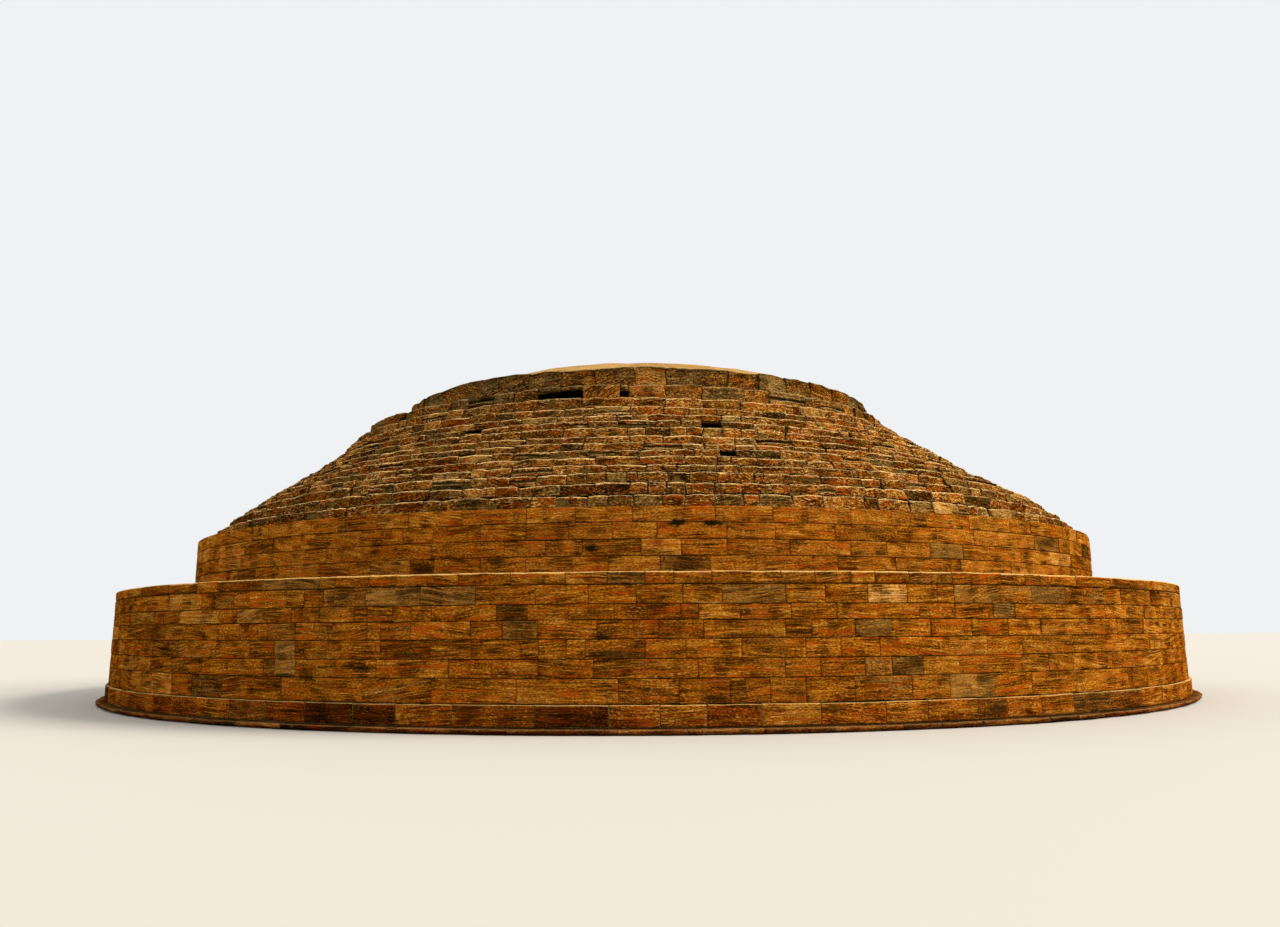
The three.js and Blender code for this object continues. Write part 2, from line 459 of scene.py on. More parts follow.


# %% [markdown]
# Where a stone has fallen out, the core's wall is pushed in, and its note of soot and shade paints
# the hole dark as a painted shadow. The same note paints shade on the core a little along its top
# and its bed.

# %% The core of a course
CORE_ROUGHNESS = 0.4
CORE_BUMP = 0.09
PLAIN_NOTE = (0.5, 0.5, 0.0, 0.0)
SOOT = 2


def core_disc(course, style, holes, seed):
    """A closed disc behind the blocks, with its wall pushed in at the holes."""
    angles, levels = core_grid(course, style, holes)
    angle, level = [grid.reshape(-1) for grid in np.meshgrid(angles, levels, indexing="ij")]
    reach = face_radius(course, angle, rise_of(course, level)) - style.inset - style.sunk
    reach -= style.undercut * undercut_share(level - course.base)
    bumps = rough_noise(around(0.0, angle, reach, level), CORE_BUMP, seed + 9)
    reach += style.sunk * CORE_ROUGHNESS * bumps
    stone = np.tile(PLAIN_NOTE, (len(reach), 1))
    from_bed = np.minimum(level - levels[0], levels[-1] - level)
    # Painted shade along the core's top and its bed.
    stone[:, SOOT] = style.bed_shade * (1 - np.clip(from_bed / BED_SHADE, 0, 1))
    for hole in holes:
        reach -= hole.depth * in_hole(hole, angle, level)
        # Painted shadow inside a hole.
        stone[in_hole(hole, angle, level, 2 * EDGE_SLIVER), SOOT] = 1.0
    points = around(course.axis_x, angle, reach, level)
    return points, disc_faces(len(angles), len(levels)), points, stone


# %% [markdown]
# A course becomes one Blender object: its blocks and its mortar, each with its own material. It
# rides on the model's only body and stands for the disc that it was made from.

# %% Make the object of a course
BODY = "root"


def join(parts, index):
    """One list of numbers from the same list of several parts, as Blender takes it."""
    return np.concatenate([part[index] for part in parts]).reshape(-1)


def make_piece(name, parts, materials, node):
    """One object from several (points, faces, grain, stone) parts, one material to each part."""
    mesh = bpy.data.meshes.new(name)
    faces, slots, first = [], [], 0
    for index, part in enumerate(parts):
        faces += [[first + corner for corner in face] for face in part[1]]
        slots += [index] * len(part[1])
        first += len(part[0])
    mesh.from_pydata(join(parts, 0).reshape(-1, 3).tolist(), [], faces)
    for material in materials:
        mesh.materials.append(material)
    mesh.polygons.foreach_set("material_index", slots)
    mesh.polygons.foreach_set("use_smooth", [True] * len(faces))
    grain = mesh.attributes.new("grain", "FLOAT_VECTOR", "POINT")
    grain.data.foreach_set("vector", join(parts, 2))
    stone = mesh.attributes.new("stone", "FLOAT_COLOR", "POINT")
    stone.data.foreach_set("color", join(parts, 3))
    mesh.update()
    piece = bpy.data.objects.new(name, mesh)
    bpy.context.scene.collection.objects.link(piece)
    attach(piece, BODY)
    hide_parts(node)
    triangles = sum(len(face) - 2 for face in faces)
    print(f"{name}: {len(faces)} faces, {triangles} triangles")
    return piece


# %% [markdown]
# Now the finishes. A colour is written in the six digits that screens use, and turned into the
# linear values that shaders work with. The two parts of the rule are the standard for screens.

# %% Colours
DARKEST = 0.04045
DARK_SLOPE = 12.92
LIFT = 0.055
GAMMA = 2.4


def colour(code):
    """A colour such as 8a4b1c as linear red, green, blue and alpha."""
    parts = [int(code[at : at + 2], 16) / 255 for at in (0, 2, 4)]
    linear = [
        part / DARK_SLOPE if part <= DARKEST else ((part + LIFT) / (1 + LIFT)) ** GAMMA
        for part in parts
    ]
    return (*linear, 1.0)


# %% [markdown]
# Shader nodes are wired by code here. A board is one node tree with short ways to add the nodes
# that stone needs: sums, ranges, mixes and noise. Each gives back what it puts out, ready to be
# wired to the next.

# %% A board of nodes
COLOUR_MIX_INPUTS = (0, 6, 7)
COLOUR_MIX_OUTPUT = 2


class Board:
    """A node tree with short ways to add and wire nodes."""

    def __init__(self, tree):
        self.tree = tree

    def wire(self, node, inputs):
        """Puts values or wires on the inputs of a node."""
        for name, value in inputs.items():
            if isinstance(value, bpy.types.NodeSocket):
                self.tree.links.new(value, node.inputs[name])
            else:
                node.inputs[name].default_value = value

    def add(self, kind, inputs=None, **settings):
        """The outputs of a new node with some settings, and with its inputs wired."""
        node = self.tree.nodes.new(f"ShaderNode{kind}")
        for name, value in settings.items():
            setattr(node, name, value)
        self.wire(node, inputs or {})
        return node.outputs

    def group(self, group, inputs):
        """The outputs of a group that is placed on this board."""
        return self.add("Group", inputs, node_tree=group)

    def math(self, operation, *values):
        """The result of a Math node."""
        return self.add("Math", dict(enumerate(values)), operation=operation)[0]

    def vector(self, operation, *values):
        """The result of a Vector Math node."""
        return self.add("VectorMath", dict(enumerate(values)), operation=operation)[0]

    def total(self, first, *others):
        """The sum of several values."""
        for other in others:
            first = self.math("ADD", first, other)
        return first

    def times(self, first, second):
        """The product of two values."""
        return self.math("MULTIPLY", first, second)

    def swing(self, value, strength):
        """How far a value from 0 to 1 lies from its middle, times a strength."""
        return self.times(self.math("SUBTRACT", value, MIDDLE), strength)

    def spread(self, value, low, high, to_low=0.0, to_high=1.0):
        """A value stretched from one range to another and held there."""
        inputs = {"Value": value, "From Min": low, "From Max": high}
        return self.add("MapRange", {**inputs, "To Min": to_low, "To Max": to_high})["Result"]

    def blend(self, share, first, second):
        """Two colours mixed by a share from 0 to 1."""
        inputs = dict(zip(COLOUR_MIX_INPUTS, (share, first, second)))
        return self.add("Mix", inputs, data_type="RGBA")[COLOUR_MIX_OUTPUT]

    def noise(self, vector, scale, detail=4.0, roughness=0.55, distortion=0.0):
        """The value of a Noise Texture."""
        inputs = {"Vector": vector, "Scale": scale, "Detail": detail}
        inputs |= {"Roughness": roughness, "Distortion": distortion}
        return self.add("TexNoise", inputs)["Fac"]


# %% [markdown]
# An effect that several materials use is a node group: a small board of its own, with named
# inputs and outputs. It is opened with its inputs, built, and closed with its results.


# %% Open and close a group
def open_group(name, **inputs):
    """The board of a new group, and its inputs by name. A name_with_lines has spaces in Blender."""
    tree = bpy.data.node_groups.new(name, "ShaderNodeTree")
    for label, kind in inputs.items():
        kind = f"NodeSocket{kind}"
        tree.interface.new_socket(label.replace("_", " "), in_out="INPUT", socket_type=kind)
    return Board(tree), tree.nodes.new("NodeGroupInput").outputs


def close_group(board, kind, results):
    """Puts the results of a group out under their names, and gives the group."""
    for label in results:
        board.tree.interface.new_socket(label, in_out="OUTPUT", socket_type=f"NodeSocket{kind}")
    board.wire(board.tree.nodes.new("NodeGroupOutput"), results)
    print(f"group {board.tree.name} gives {', '.join(results)}")
    return board.tree


# %% [markdown]
# This sandstone is layered. Its bedding shows as fine dark and light streaks along every block, as
# broader bands, and as cracks where softer layers have weathered out. All of them are noise,
# squeezed flat so that it runs along the block, and bent a little, because real beds are never
# straight. They are read in the block's own `grain`, so that a streak ends at the joint.

# %% Group: bedding
BAND_STRETCH = (0.45, 0.35, 0.45)
IRON_SHIFT = (11.3, 4.7, 2.9)
COOL_SHIFT = (3.1, 17.9, 8.3)
CRACK_STRETCH = (0.35, 0.8, 0.35)
CRACK_WIDTH = 0.09

board, given = open_group(
    "bedding", Grain="Vector", Layer_Length="Float", Layer_Height="Float", Bend="Float"
)
grain, layer_length = given["Grain"], given["Layer Length"]
bend = board.swing(board.noise(grain, scale=3.2, detail=2.0), given["Bend"])
bent = board.vector("ADD", grain, board.add("CombineXYZ", {1: bend})[0])
layer_size = {0: layer_length, 1: given["Layer Height"], 2: layer_length}
layered = board.vector("DIVIDE", bent, board.add("CombineXYZ", layer_size)[0])
broad = board.vector("MULTIPLY", layered, BAND_STRETCH)


def other_beds(shift, full):
    """Beds of another kind: a broad noise of their own, cut off at its middle."""
    beds = board.noise(board.vector("ADD", broad, shift), scale=1.4, roughness=0.65)
    return board.spread(beds, low=MIDDLE, high=full)


long_beds = board.vector("MULTIPLY", layered, CRACK_STRETCH)
split = board.noise(long_beds, scale=1.0, detail=2.0, roughness=0.5)
split = board.math("ABSOLUTE", board.math("SUBTRACT", split, MIDDLE))
split = board.spread(split, low=0.0, high=CRACK_WIDTH, to_low=1.0, to_high=0.0)
split_patch = board.spread(board.noise(grain, scale=4.5, detail=2.0), low=0.44, high=0.58)
streak = board.noise(layered, scale=1.0, detail=3.0, roughness=0.68)
band = board.noise(broad, scale=1.0, detail=3.0, roughness=0.5)
beds = {
    "Streak": board.spread(streak, low=0.28, high=0.72),
    "Band": board.spread(band, low=0.3, high=0.7),
    "Crack": board.times(split, split_patch),
    "Iron": other_beds(IRON_SHIFT, full=0.62),
    "Cool": other_beds(COOL_SHIFT, full=0.64),
}
bedding = close_group(board, "Float", beds)

# %% [markdown]
# Sandstone is also sand. Seen close up it is a mass of bright and dark grains, and here and there
# the bright ones gather in a crust. `Grit` is the fine salt and pepper, `Crust` the gatherings.
# A very broad noise hardly changes inside one block, so it can make whole blocks crusty or bare.

# %% Group: sand
SAND_STRETCH = (0.6, 1.2, 0.6)
CRUST_SCALE = 7.0
BLOCK_SCALE = 0.6
SPECK_SCALE = 0.8
BLOCKS_DIFFER = 0.5

board, given = open_group("sand", Grain="Vector", Grain_Scale="Float")
laid_sand = board.vector("MULTIPLY", given["Grain"], SAND_STRETCH)
grit = board.noise(laid_sand, given["Grain Scale"], detail=2.0, roughness=0.8)
gathering = board.noise(laid_sand, CRUST_SCALE, detail=3.0, roughness=0.6)
whole_block = board.noise(given["Grain"], BLOCK_SCALE, detail=0.0)
gathering = board.total(gathering, board.swing(whole_block, BLOCKS_DIFFER))
speck_scale = board.times(given["Grain Scale"], SPECK_SCALE)
specks = board.noise(laid_sand, speck_scale, detail=1.0, roughness=0.5)
bright = board.spread(specks, low=0.58, high=0.66)
crust = board.times(bright, board.spread(gathering, low=0.52, high=0.66))
sand = close_group(
    board, "Float", {"Grit": board.spread(grit, low=0.36, high=0.64), "Crust": crust}
)

# %% [markdown]
# A block's own tone decides its colour, from near black through brown and ochre to pale sand. Its
# streaks, bands and grit move it a little either way. Iron turns parts of a warm block red, and a
# cool block is olive grey.

# %% Group: block colour
RAMP = ("Dark", "Deep", "Middle", "Light", "Pale")
BLOCK_COLOURS = (*RAMP, "Red", "Cool")

colour_inputs = dict.fromkeys(BLOCK_COLOURS, "Color")
board, given = open_group(
    "block_colour", Shade="Float", Warmth="Float", Iron="Float", **colour_inputs
)
ramp = given["Dark"]
for step, step_name in enumerate(RAMP[1:]):
    low, high = step / (len(RAMP) - 1), (step + 1) / (len(RAMP) - 1)
    ramp = board.blend(board.spread(given["Shade"], low, high), ramp, given[step_name])
reddened = board.blend(given["Iron"], ramp, given["Red"])
coolness = board.spread(given["Warmth"], low=0.0, high=0.5, to_low=0.7, to_high=0.0)
cool_depth = board.spread(given["Shade"], low=0.0, high=1.0, to_low=0.35, to_high=1.65)
cool_scale = {0: given["Cool"], "Scale": cool_depth}
cool_ramp = board.add("VectorMath", cool_scale, operation="SCALE")[0]
block_colour = close_group(board, "Color", {"Color": board.blend(coolness, reddened, cool_ramp)})

# %% [markdown]
# Weather works on the whole building at once, so these masks are read in the object's own space
# and run across the joints: olive stains that hang down the wall, black smudges of dead algae,
# grime, pale dust with a painted highlight on what faces up, and painted shade on what faces down.

# %% Group: weather, painted highlight and painted shade
STAIN_STRETCH = (1.0, 1.0, 0.45)
SMUDGE_STRETCH = (1.0, 1.0, 2.2)
DUST_SPAN = 0.3
RAGGED_DUST = 0.9


def facing_up(board):
    """How far a surface faces up, from -1 for down to 1 for up."""
    normal = board.add("NewGeometry")["Normal"]
    return board.add("SeparateXYZ", {0: normal})["Z"]


board, given = open_group("weather", Stain_Size="Float", Dust_Edge="Float")
place = board.add("TexCoord")["Object"]
hanging = board.vector("MULTIPLY", place, STAIN_STRETCH)
stain_scale = board.math("DIVIDE", 1.0, given["Stain Size"])
stain = board.noise(hanging, stain_scale, detail=5.0, roughness=0.6, distortion=0.3)
lying = board.vector("MULTIPLY", place, SMUDGE_STRETCH)
smudge = board.noise(lying, scale=2.6, detail=5.0, roughness=0.7)
grime = board.noise(place, scale=9.0, detail=6.0, roughness=0.7)
up = facing_up(board)
dust_level = board.total(up, board.swing(grime, RAGGED_DUST))
dust_full = board.total(given["Dust Edge"], DUST_SPAN)
masks = {
    "Stain": board.spread(stain, low=0.48, high=0.72),
    "Smudge": board.spread(smudge, low=0.60, high=0.72),
    "Grime": board.spread(grime, low=0.42, high=0.68),
    # Pale dust and a painted highlight on what faces up.
    "Dust": board.spread(dust_level, given["Dust Edge"], dust_full),
    # Painted shade on every surface that faces down.
    "Shelter": board.spread(up, low=-0.1, high=-0.5),
}
weather = close_group(board, "Float", masks)

# %% [markdown]
# Joints fill with dirt, and shade is painted into them as well. The third value of a block's `grain`
# is how far a point lies behind the face, so that the sides and the bed of a block can turn dark a
# little way in, as dirt and painted shade. A top that faces up can be spared from it. `Tread` tells
# the edge of a step, which is pale with dust and a painted highlight, from the flat behind it.

# %% Group: joint dirt and painted shade
DIRT_DEPTHS = (0.002, 0.03)
TREAD_DEPTHS = (0.018, 0.06)

board, given = open_group("joint_dirt", Grain="Vector", Washed="Float")
behind_face = board.add("SeparateXYZ", {0: given["Grain"]})["Z"]
washed = board.times(board.spread(facing_up(board), low=0.3, high=0.7), given["Washed"])
# Dirt and painted shade behind the face; a spared top that faces up stays as it is.
dirt = board.times(board.spread(behind_face, *DIRT_DEPTHS), board.math("SUBTRACT", 1.0, washed))
tread = board.spread(behind_face, *TREAD_DEPTHS)
joint_dirt = close_group(board, "Float", {"Dirt": dirt, "Tread": tread})

# %% [markdown]
# Here and there the wall has a small black patch, where water has sat. Each patch of the
# photograph keeps its place: this mask is full in an oval round a point and ragged at its rim.

# %% Group: smear
RAGGEDNESS = 2.6

board, given = open_group("smear", Place="Vector", Center="Vector", Half_Size="Vector", Ragged="Float")
from_center = board.vector("SUBTRACT", given["Place"], given["Center"])
in_halves = board.vector("DIVIDE", from_center, given["Half Size"])
distance = board.add("VectorMath", {0: in_halves}, operation="LENGTH")["Value"]
torn = board.total(distance, board.swing(given["Ragged"], RAGGEDNESS))
smear = close_group(
    board, "Float", {"Smear": board.spread(torn, low=0.5, high=1.3, to_low=1.0, to_high=0.0)}
)

# %% [markdown]
# The patches are noted by course, by their first and last pixel column, and by the share of the
# course's height at which they start and end. The last number is how dark they are.

# %% Where the smears are
BLACK_LICHEN = "201a08"
SMEARS = {
    "drum_stone": {
        "lower_drum_course_1": [(700, 730, 0.0, 0.4, 0.55), (299, 316, 0.8, 1.1, 0.8)],
        "lower_drum_course_2": [
            (353, 374, 0.3, 0.7, 0.8), (274, 296, -0.1, 0.2, 0.8), (905, 923, 0.3, 1.0, 0.6),
        ],
        "lower_drum_course_3": [(585, 645, 0.0, 0.5, 0.8), (385, 430, 0.0, 0.4, 0.6)],
        "lower_drum_course_4": [(594, 610, -0.1, 0.3, 0.9)],
        "lower_drum_course_5": [(993, 1012, 0.3, 0.9, 0.5), (836, 862, 0.8, 1.1, 0.7)],
    },
    "upper_drum_stone": {
        "upper_drum_course_1": [
            (664, 706, 0.2, 0.8, 0.35), (484, 505, 0.6, 1.0, 0.8), (414, 432, 0.2, 0.8, 0.7),
        ],
        "upper_drum_course_2": [(582, 600, 0.2, 0.7, 1.0)],
        "upper_drum_course_3": [
            (666, 688, 0.75, 1.2, 1.0), (702, 724, 0.75, 1.15, 1.0), (1036, 1056, 0.3, 0.9, 0.6),
        ],
    },
    "plinth_stone": {
        "plinth_course": [(822, 850, 0.45, 0.95, 0.6), (984, 1007, 0.2, 0.7, 0.8)],
    },
}


def smear_oval(node, left, right, low, high):
    """The centre and the half size of a patch on a course."""
    course = courses[node]
    start, end = angle_at(left, course), angle_at(right, course)
    middle, rise = (start + end) / 2, (low + high) / 2
    reach = float(face_radius(course, middle, rise))
    thickness = course.top - course.base
    center = around(course.axis_x, middle, reach, course.base + rise * thickness)
    half_width = (end - start) / 2 * reach
    return {"Center": center, "Half Size": (half_width, half_width, (high - low) / 2 * thickness)}


def smear_covers(board, name):
    """The patches of one finish, as covers: a mask, a strength and a colour."""
    if name not in SMEARS:
        return []
    place = board.add("TexCoord")["Object"]
    usual = {"Place": place, "Ragged": board.noise(place, scale=20.0, roughness=0.7)}
    covers = []
    for node, patches in SMEARS[name].items():
        for *oval, strength in patches:
            mask = board.group(smear, {**usual, **smear_oval(node, *oval)})["Smear"]
            covers.append((mask, strength, BLACK_LICHEN))
    return covers


# %% [markdown]
# A finish starts from the block's own colour. Then come the covers, one over the other, from the
# oldest to the newest: stains, grime, cracks, lime, soot, smudges, dust with a painted highlight,
# painted shade on what faces down, and the dirt and painted shade in the joints. Each one is a
# mask, a strength and a colour. Dust and highlight lie thinner on the flat of a tread than on its
# edge, and soot and lime are broken up by the grit.

# %% Colour a block and cover it
JOINT_DIRT = 0.9


def cover(board, ground, mask, strength, code):
    """A colour laid over the ground, as strongly as its mask and its strength say."""
    return board.blend(board.times(mask, strength), ground, colour(code))


def clean_colour(board, parts, palette, amounts):
    """The colour of a block before any weather, from its tone, its warmth and its layers."""
    beds, grit = parts.beds, parts.sand["Grit"]
    swings = [(beds["Streak"], amounts.streak), (beds["Band"], amounts.band), (grit, amounts.grit)]
    shade = board.total(parts.tone, *[board.swing(value, strength) for value, strength in swings])
    cooled = board.times(beds["Cool"], amounts.cool)
    iron = board.times(board.times(beds["Iron"], parts.warmth), amounts.iron)
    warmth = board.math("SUBTRACT", parts.warmth, cooled)
    colours = {label: colour(getattr(palette, label.lower())) for label in BLOCK_COLOURS}
    inputs = {"Shade": shade, "Warmth": warmth, "Iron": iron, **colours}
    return board.group(block_colour, inputs)["Color"]


def covers_of(board, name, parts, palette, amounts):
    """Everything that lies over the clean colour of a block, in its order."""
    beds, grit = parts.beds, parts.sand["Grit"]
    air = {"Stain Size": amounts.stain_size, "Dust Edge": amounts.dust_edge}
    air = board.group(weather, air)
    depth = board.group(joint_dirt, {"Grain": parts.grain, "Washed": amounts.washed})
    dust_left = board.spread(depth["Tread"], 0.0, 1.0, to_low=1.0, to_high=amounts.tread_dust)
    broken_soot = board.spread(grit, low=0.2, high=0.8, to_low=1.0, to_high=0.6)
    near_joint = board.times(board.spread(grit, low=0.45, high=0.75), parts.near)
    return [
        (air["Stain"], amounts.stain, palette.stain),
        (air["Grime"], amounts.grime, palette.deep),
        (beds["Crack"], amounts.crack, palette.dark),
        (parts.sand["Crust"], amounts.crust, palette.lime),
        (near_joint, amounts.lime, palette.lime),
        (board.times(parts.soot, broken_soot), 1.0, palette.dark),
        (air["Smudge"], amounts.smudge, palette.dark),
        *smear_covers(board, name),
        # Pale dust and a painted highlight, thinner on the flat of a tread than on its edge.
        (board.times(air["Dust"], dust_left), amounts.dust, palette.dust),
        # Painted shade on what faces down.
        (air["Shelter"], amounts.shelter, palette.dark),
        # Dirt and painted shade a little way into the joints.
        (depth["Dirt"], JOINT_DIRT, palette.dark),
    ]


# %% [markdown]
# Every stone finish is the same recipe with its own colours and amounts. The streaks, the bands
# and the grit that colour the stone also raise it, and the cracks sink in, through one Bump node.
# Old sandstone has no shine at all.

# %% The stone recipe
STONE_SHINE = 0.0
STREAK_BUMP = 1.0
GRIT_BUMP = 0.8
BAND_BUMP = 1.0
CRACK_BUMP = -1.2


def new_material(name):
    """A new material, its board and its shader."""
    material = bpy.data.materials.new(name)
    material.use_nodes = True
    shader = material.node_tree.nodes["Principled BSDF"]
    return material, Board(material.node_tree), shader


def finish_stone(board, shader, ground, roughness, height, depth):
    """Wires a colour, a roughness and a bump of some depth to a shader."""
    bump = board.add("Bump", {"Height": height, "Distance": depth, "Strength": 1.0})
    shine = {"Roughness": roughness, "Specular IOR Level": STONE_SHINE}
    board.wire(shader, {"Base Color": ground, **shine, "Normal": bump["Normal"]})


def stone_material(name, palette, amounts):
    """A stone finish from its colours and a set of amounts."""
    material, board, shader = new_material(name)
    grain = board.add("Attribute", attribute_name="grain")["Vector"]
    note = board.add("Attribute", attribute_name="stone")
    tone, warmth, soot = board.add("SeparateColor", {0: note["Color"]})
    layer = {"Layer Length": amounts.layer_length, "Layer Height": amounts.layer_height}
    beds = board.group(bedding, {"Grain": grain, **layer, "Bend": amounts.bend})
    grains = board.group(sand, {"Grain": grain, "Grain Scale": amounts.grain_scale})
    parts = SimpleNamespace(grain=grain, beds=beds, sand=grains)
    parts.tone, parts.warmth, parts.soot, parts.near = tone, warmth, soot, note["Alpha"]
    ground = clean_colour(board, parts, palette, amounts)
    covers = covers_of(board, name, parts, palette, amounts)
    for mask, strength, code in covers:
        ground = cover(board, ground, mask, strength, code)
    roughness = board.spread(beds["Streak"], 0.0, 1.0, to_low=0.98, to_high=0.86)
    bumps = [(beds["Streak"], STREAK_BUMP), (grains["Grit"], GRIT_BUMP), (beds["Band"], BAND_BUMP)]
    raised = [board.swing(value, strength) for value, strength in bumps]
    height = board.total(*raised, board.times(beds["Crack"], CRACK_BUMP))
    finish_stone(board, shader, ground, roughness, height, amounts.bump)
    print(f"finish {name}: {len(covers)} covers")
    return material


# %% [markdown]
# The dressed blocks of the two drums and the coping share most of their colours and amounts. The
# upper drum is lighter, the plinth darker, and the footing dark and dull from standing in the wet.

# %% Dressed stone finishes
usual_colours = SimpleNamespace(
    dark="1e0e02", deep="5e3004", middle="9e580a", light="c68422", pale="e8ae60",
    red="b24a0a", cool="967034", stain="64501e", lime="dca04c", dust="e4b468",
)
usual_amounts = SimpleNamespace(
    layer_length=0.26, layer_height=0.019, bend=0.03, bump=0.006,
    streak=0.55, band=0.35, grit=0.5, grain_scale=62.0, crack=0.9,
    iron=0.85, cool=0.5, crust=0.45, lime=0.0,
    stain=0.3, stain_size=0.8, smudge=0.5, grime=0.3, shelter=0.3,
    dust=0.0, dust_edge=0.35, tread_dust=0.3, washed=0.0,
)


def changed(usual, **changes):
    """A copy of a set of values with some of them changed."""
    return SimpleNamespace(**{**vars(usual), **changes})


drum_stone = stone_material("drum_stone", usual_colours, usual_amounts)
upper_drum_stone = stone_material(
    "upper_drum_stone",
    changed(usual_colours, deep="6c3c0c", middle="ae680e", light="ce8c2c"),
    changed(usual_amounts, smudge=0.7, washed=1.0),
)
coping_stone = stone_material(
    "coping_stone", usual_colours, changed(usual_amounts, dust=0.9, grime=0.35, washed=1.0)
)
plinth_stone = stone_material(
    "plinth_stone",
    changed(usual_colours, deep="582604", middle="9c5008", red="9c3c0a", cool="80622c"),
    changed(usual_amounts, stain=0.25, lime=0.1, dust=0.6, washed=1.0),
)
footing_stone = stone_material(
    "footing_stone",
    changed(
        usual_colours, deep="4a2206", middle="8a4210", light="ac6c2c",
        pale="c89050", red="8a3408", dust="c89c60",
    ),
    changed(usual_amounts, streak=0.4, band=0.4, bump=0.014, dust=0.3, dust_edge=0.5, washed=0.6),
)

# %% [markdown]
# The rubble of the dome and the blocks of the ring are split, not dressed. They are coarser, and
# lichen has turned many of them grey.

# %% Rubble finishes
rubble_stone = stone_material(
    "rubble_stone",
    changed(
        usual_colours, middle="98540c", light="c88424", pale="e6b464", cool="806c34",
        red="b04a0a", stain="5c4e1c", lime="eec884", dust="fcce84",
    ),
    changed(
        usual_amounts, layer_length=0.13, layer_height=0.026, bump=0.016,
        grain_scale=46.0, streak=0.6, band=0.5, grit=0.95, iron=1.0,
        stain=0.5, stain_size=0.3, smudge=0.7, shelter=0.8, crust=0.9, lime=0.3,
        dust=0.9, dust_edge=0.5, washed=1.0,
    ),
)
ring_stone = stone_material(
    "ring_stone",
    changed(
        usual_colours, dark="221a08", middle="965814", light="cc7e22", pale="e0a854",
        red="b0540e", cool="7c6e42", stain="685a30", dust="b8a066",
    ),
    changed(
        usual_amounts, layer_length=0.2, layer_height=0.035, bump=0.018,
        grain_scale=46.0, streak=0.75, band=0.6, grit=1.25, iron=0.8,
        stain=0.4, stain_size=0.4, smudge=0.7, shelter=0.8, crust=0.8,
        dust=0.6, washed=1.0,
    ),
)

# %% [markdown]
# Mortar is plainer than stone: lime and sand in one mottled colour, brown in the thin joints of
# the drums and olive in the wide joints of the dome. The cap is of the same stuff, but pale.

# %% Mortar and screed
MORTAR_GRAIN_SCALE = 90.0
MORTAR_ROUGHNESS = 0.95
MORTAR_GRIT_BUMP = 0.5
SPOT_STRENGTH = 0.45
SHADOW_STRENGTH = 0.95
SHADOW_IN_A_HOLE = "0a0502"


def plain_material(name, first, second, spots, size, depth):
    """A mottled finish of two colours, with small spots of a third."""
    material, board, shader = new_material(name)
    place = board.add("TexCoord")["Object"]
    mottle = board.noise(place, 1.0 / size, detail=6.0, roughness=0.62)
    grit = board.group(sand, {"Grain": place, "Grain Scale": MORTAR_GRAIN_SCALE})["Grit"]
    note = board.add("Attribute", attribute_name="stone")["Color"]
    soot = board.add("SeparateColor", {0: note})["Blue"]
    ground = board.blend(board.spread(mottle, low=0.38, high=0.62), colour(first), colour(second))
    ground = cover(board, ground, grit, SPOT_STRENGTH, spots)
    # The core's note paints shadow into the holes and shade along the beds.
    ground = cover(board, ground, soot, SHADOW_STRENGTH, SHADOW_IN_A_HOLE)
    height = board.total(mottle, board.swing(grit, MORTAR_GRIT_BUMP))
    finish_stone(board, shader, ground, MORTAR_ROUGHNESS, height, depth)
    print(f"finish {name}: mottled at {size} m")
    return material


thin_mortar = plain_material("thin_joint_mortar", "3a2006", "6a3e10", "80582a", size=0.5, depth=0.004)
plinth_mortar = plain_material("plinth_mortar", "3e2e12", "786434", "a08c54", size=0.25, depth=0.006)
rubble_mortar = plain_material("rubble_mortar", "34240a", "5e491c", "967a3c", size=0.12, depth=0.01)
screed = plain_material("cap_screed", "bc8438", "e4ac5e", "f6cc8c", size=0.35, depth=0.03)

# %% [markdown]
# A style says how a kind of masonry is laid: how long its blocks are, how wide its joints, how
# worn its edges, how rough its faces, and which stone and mortar it takes. Lengths are in metres.
# The dressed blocks come first: thin joints, sharp edges and flat faces.

# %% The style of dressed blocks
dressed = SimpleNamespace(
    stone=drum_stone, mortar=thin_mortar, slot="drum_stone",
    # The lengths of the blocks, their joints, and how much too low a block may be cut.
    shortest=0.32, longest=0.78, joint=0.005, side_joint=0.005, short=0.002,
    # How deep the sides run in, how far mortar and faces lie back, how much is eaten away below,
    # and how far behind its course's face a point of a face may lie at most.
    side=0.08, sunk=0.012, inset=0.004, undercut=0.0, hollow=0.1,
    # The worn edges, the lichen along a course's rim and the painted shade on its mortar along the
    # beds.
    edge=0.0035, side_wear=1.0, arch=0.0, lichen=0.0, bed_shade=0.3,
    # The wobble of a block's outline and the relief of its face, with the sizes of their bumps.
    wobble=0.0025, wobble_size=0.06, relief=0.003, relief_size=0.16,
    # How untrue it is laid: out of line, turned, with slanting joints, tipped, on a wavy bed,
    # and lifted a little off it.
    proud=0.003, swing=0.004, slant=0.0, tip=0.0, wave=0.003, lift=0.0,
    # The lines of its sheet: along the face, up the face, and back along the top.
    columns=5, rows=3, steps=1,
    # Its look: the middle and the spread of its tone and warmth, how often it is sooty, the slope
    # of its bedding and how often it is split in two.
    tone=(0.46, 0.1), warmth=(0.75, 0.2), sooty=0.06, bedding=0.07, split=0.0,
)
print(f"dressed blocks are {dressed.shortest} to {dressed.longest} m long")

# %% [markdown]
# The other styles are the same with changes. The plinth has longer blocks whose mortar lies
# almost flush. The coping's edge is worn round. The footing is rough and eaten away underneath.

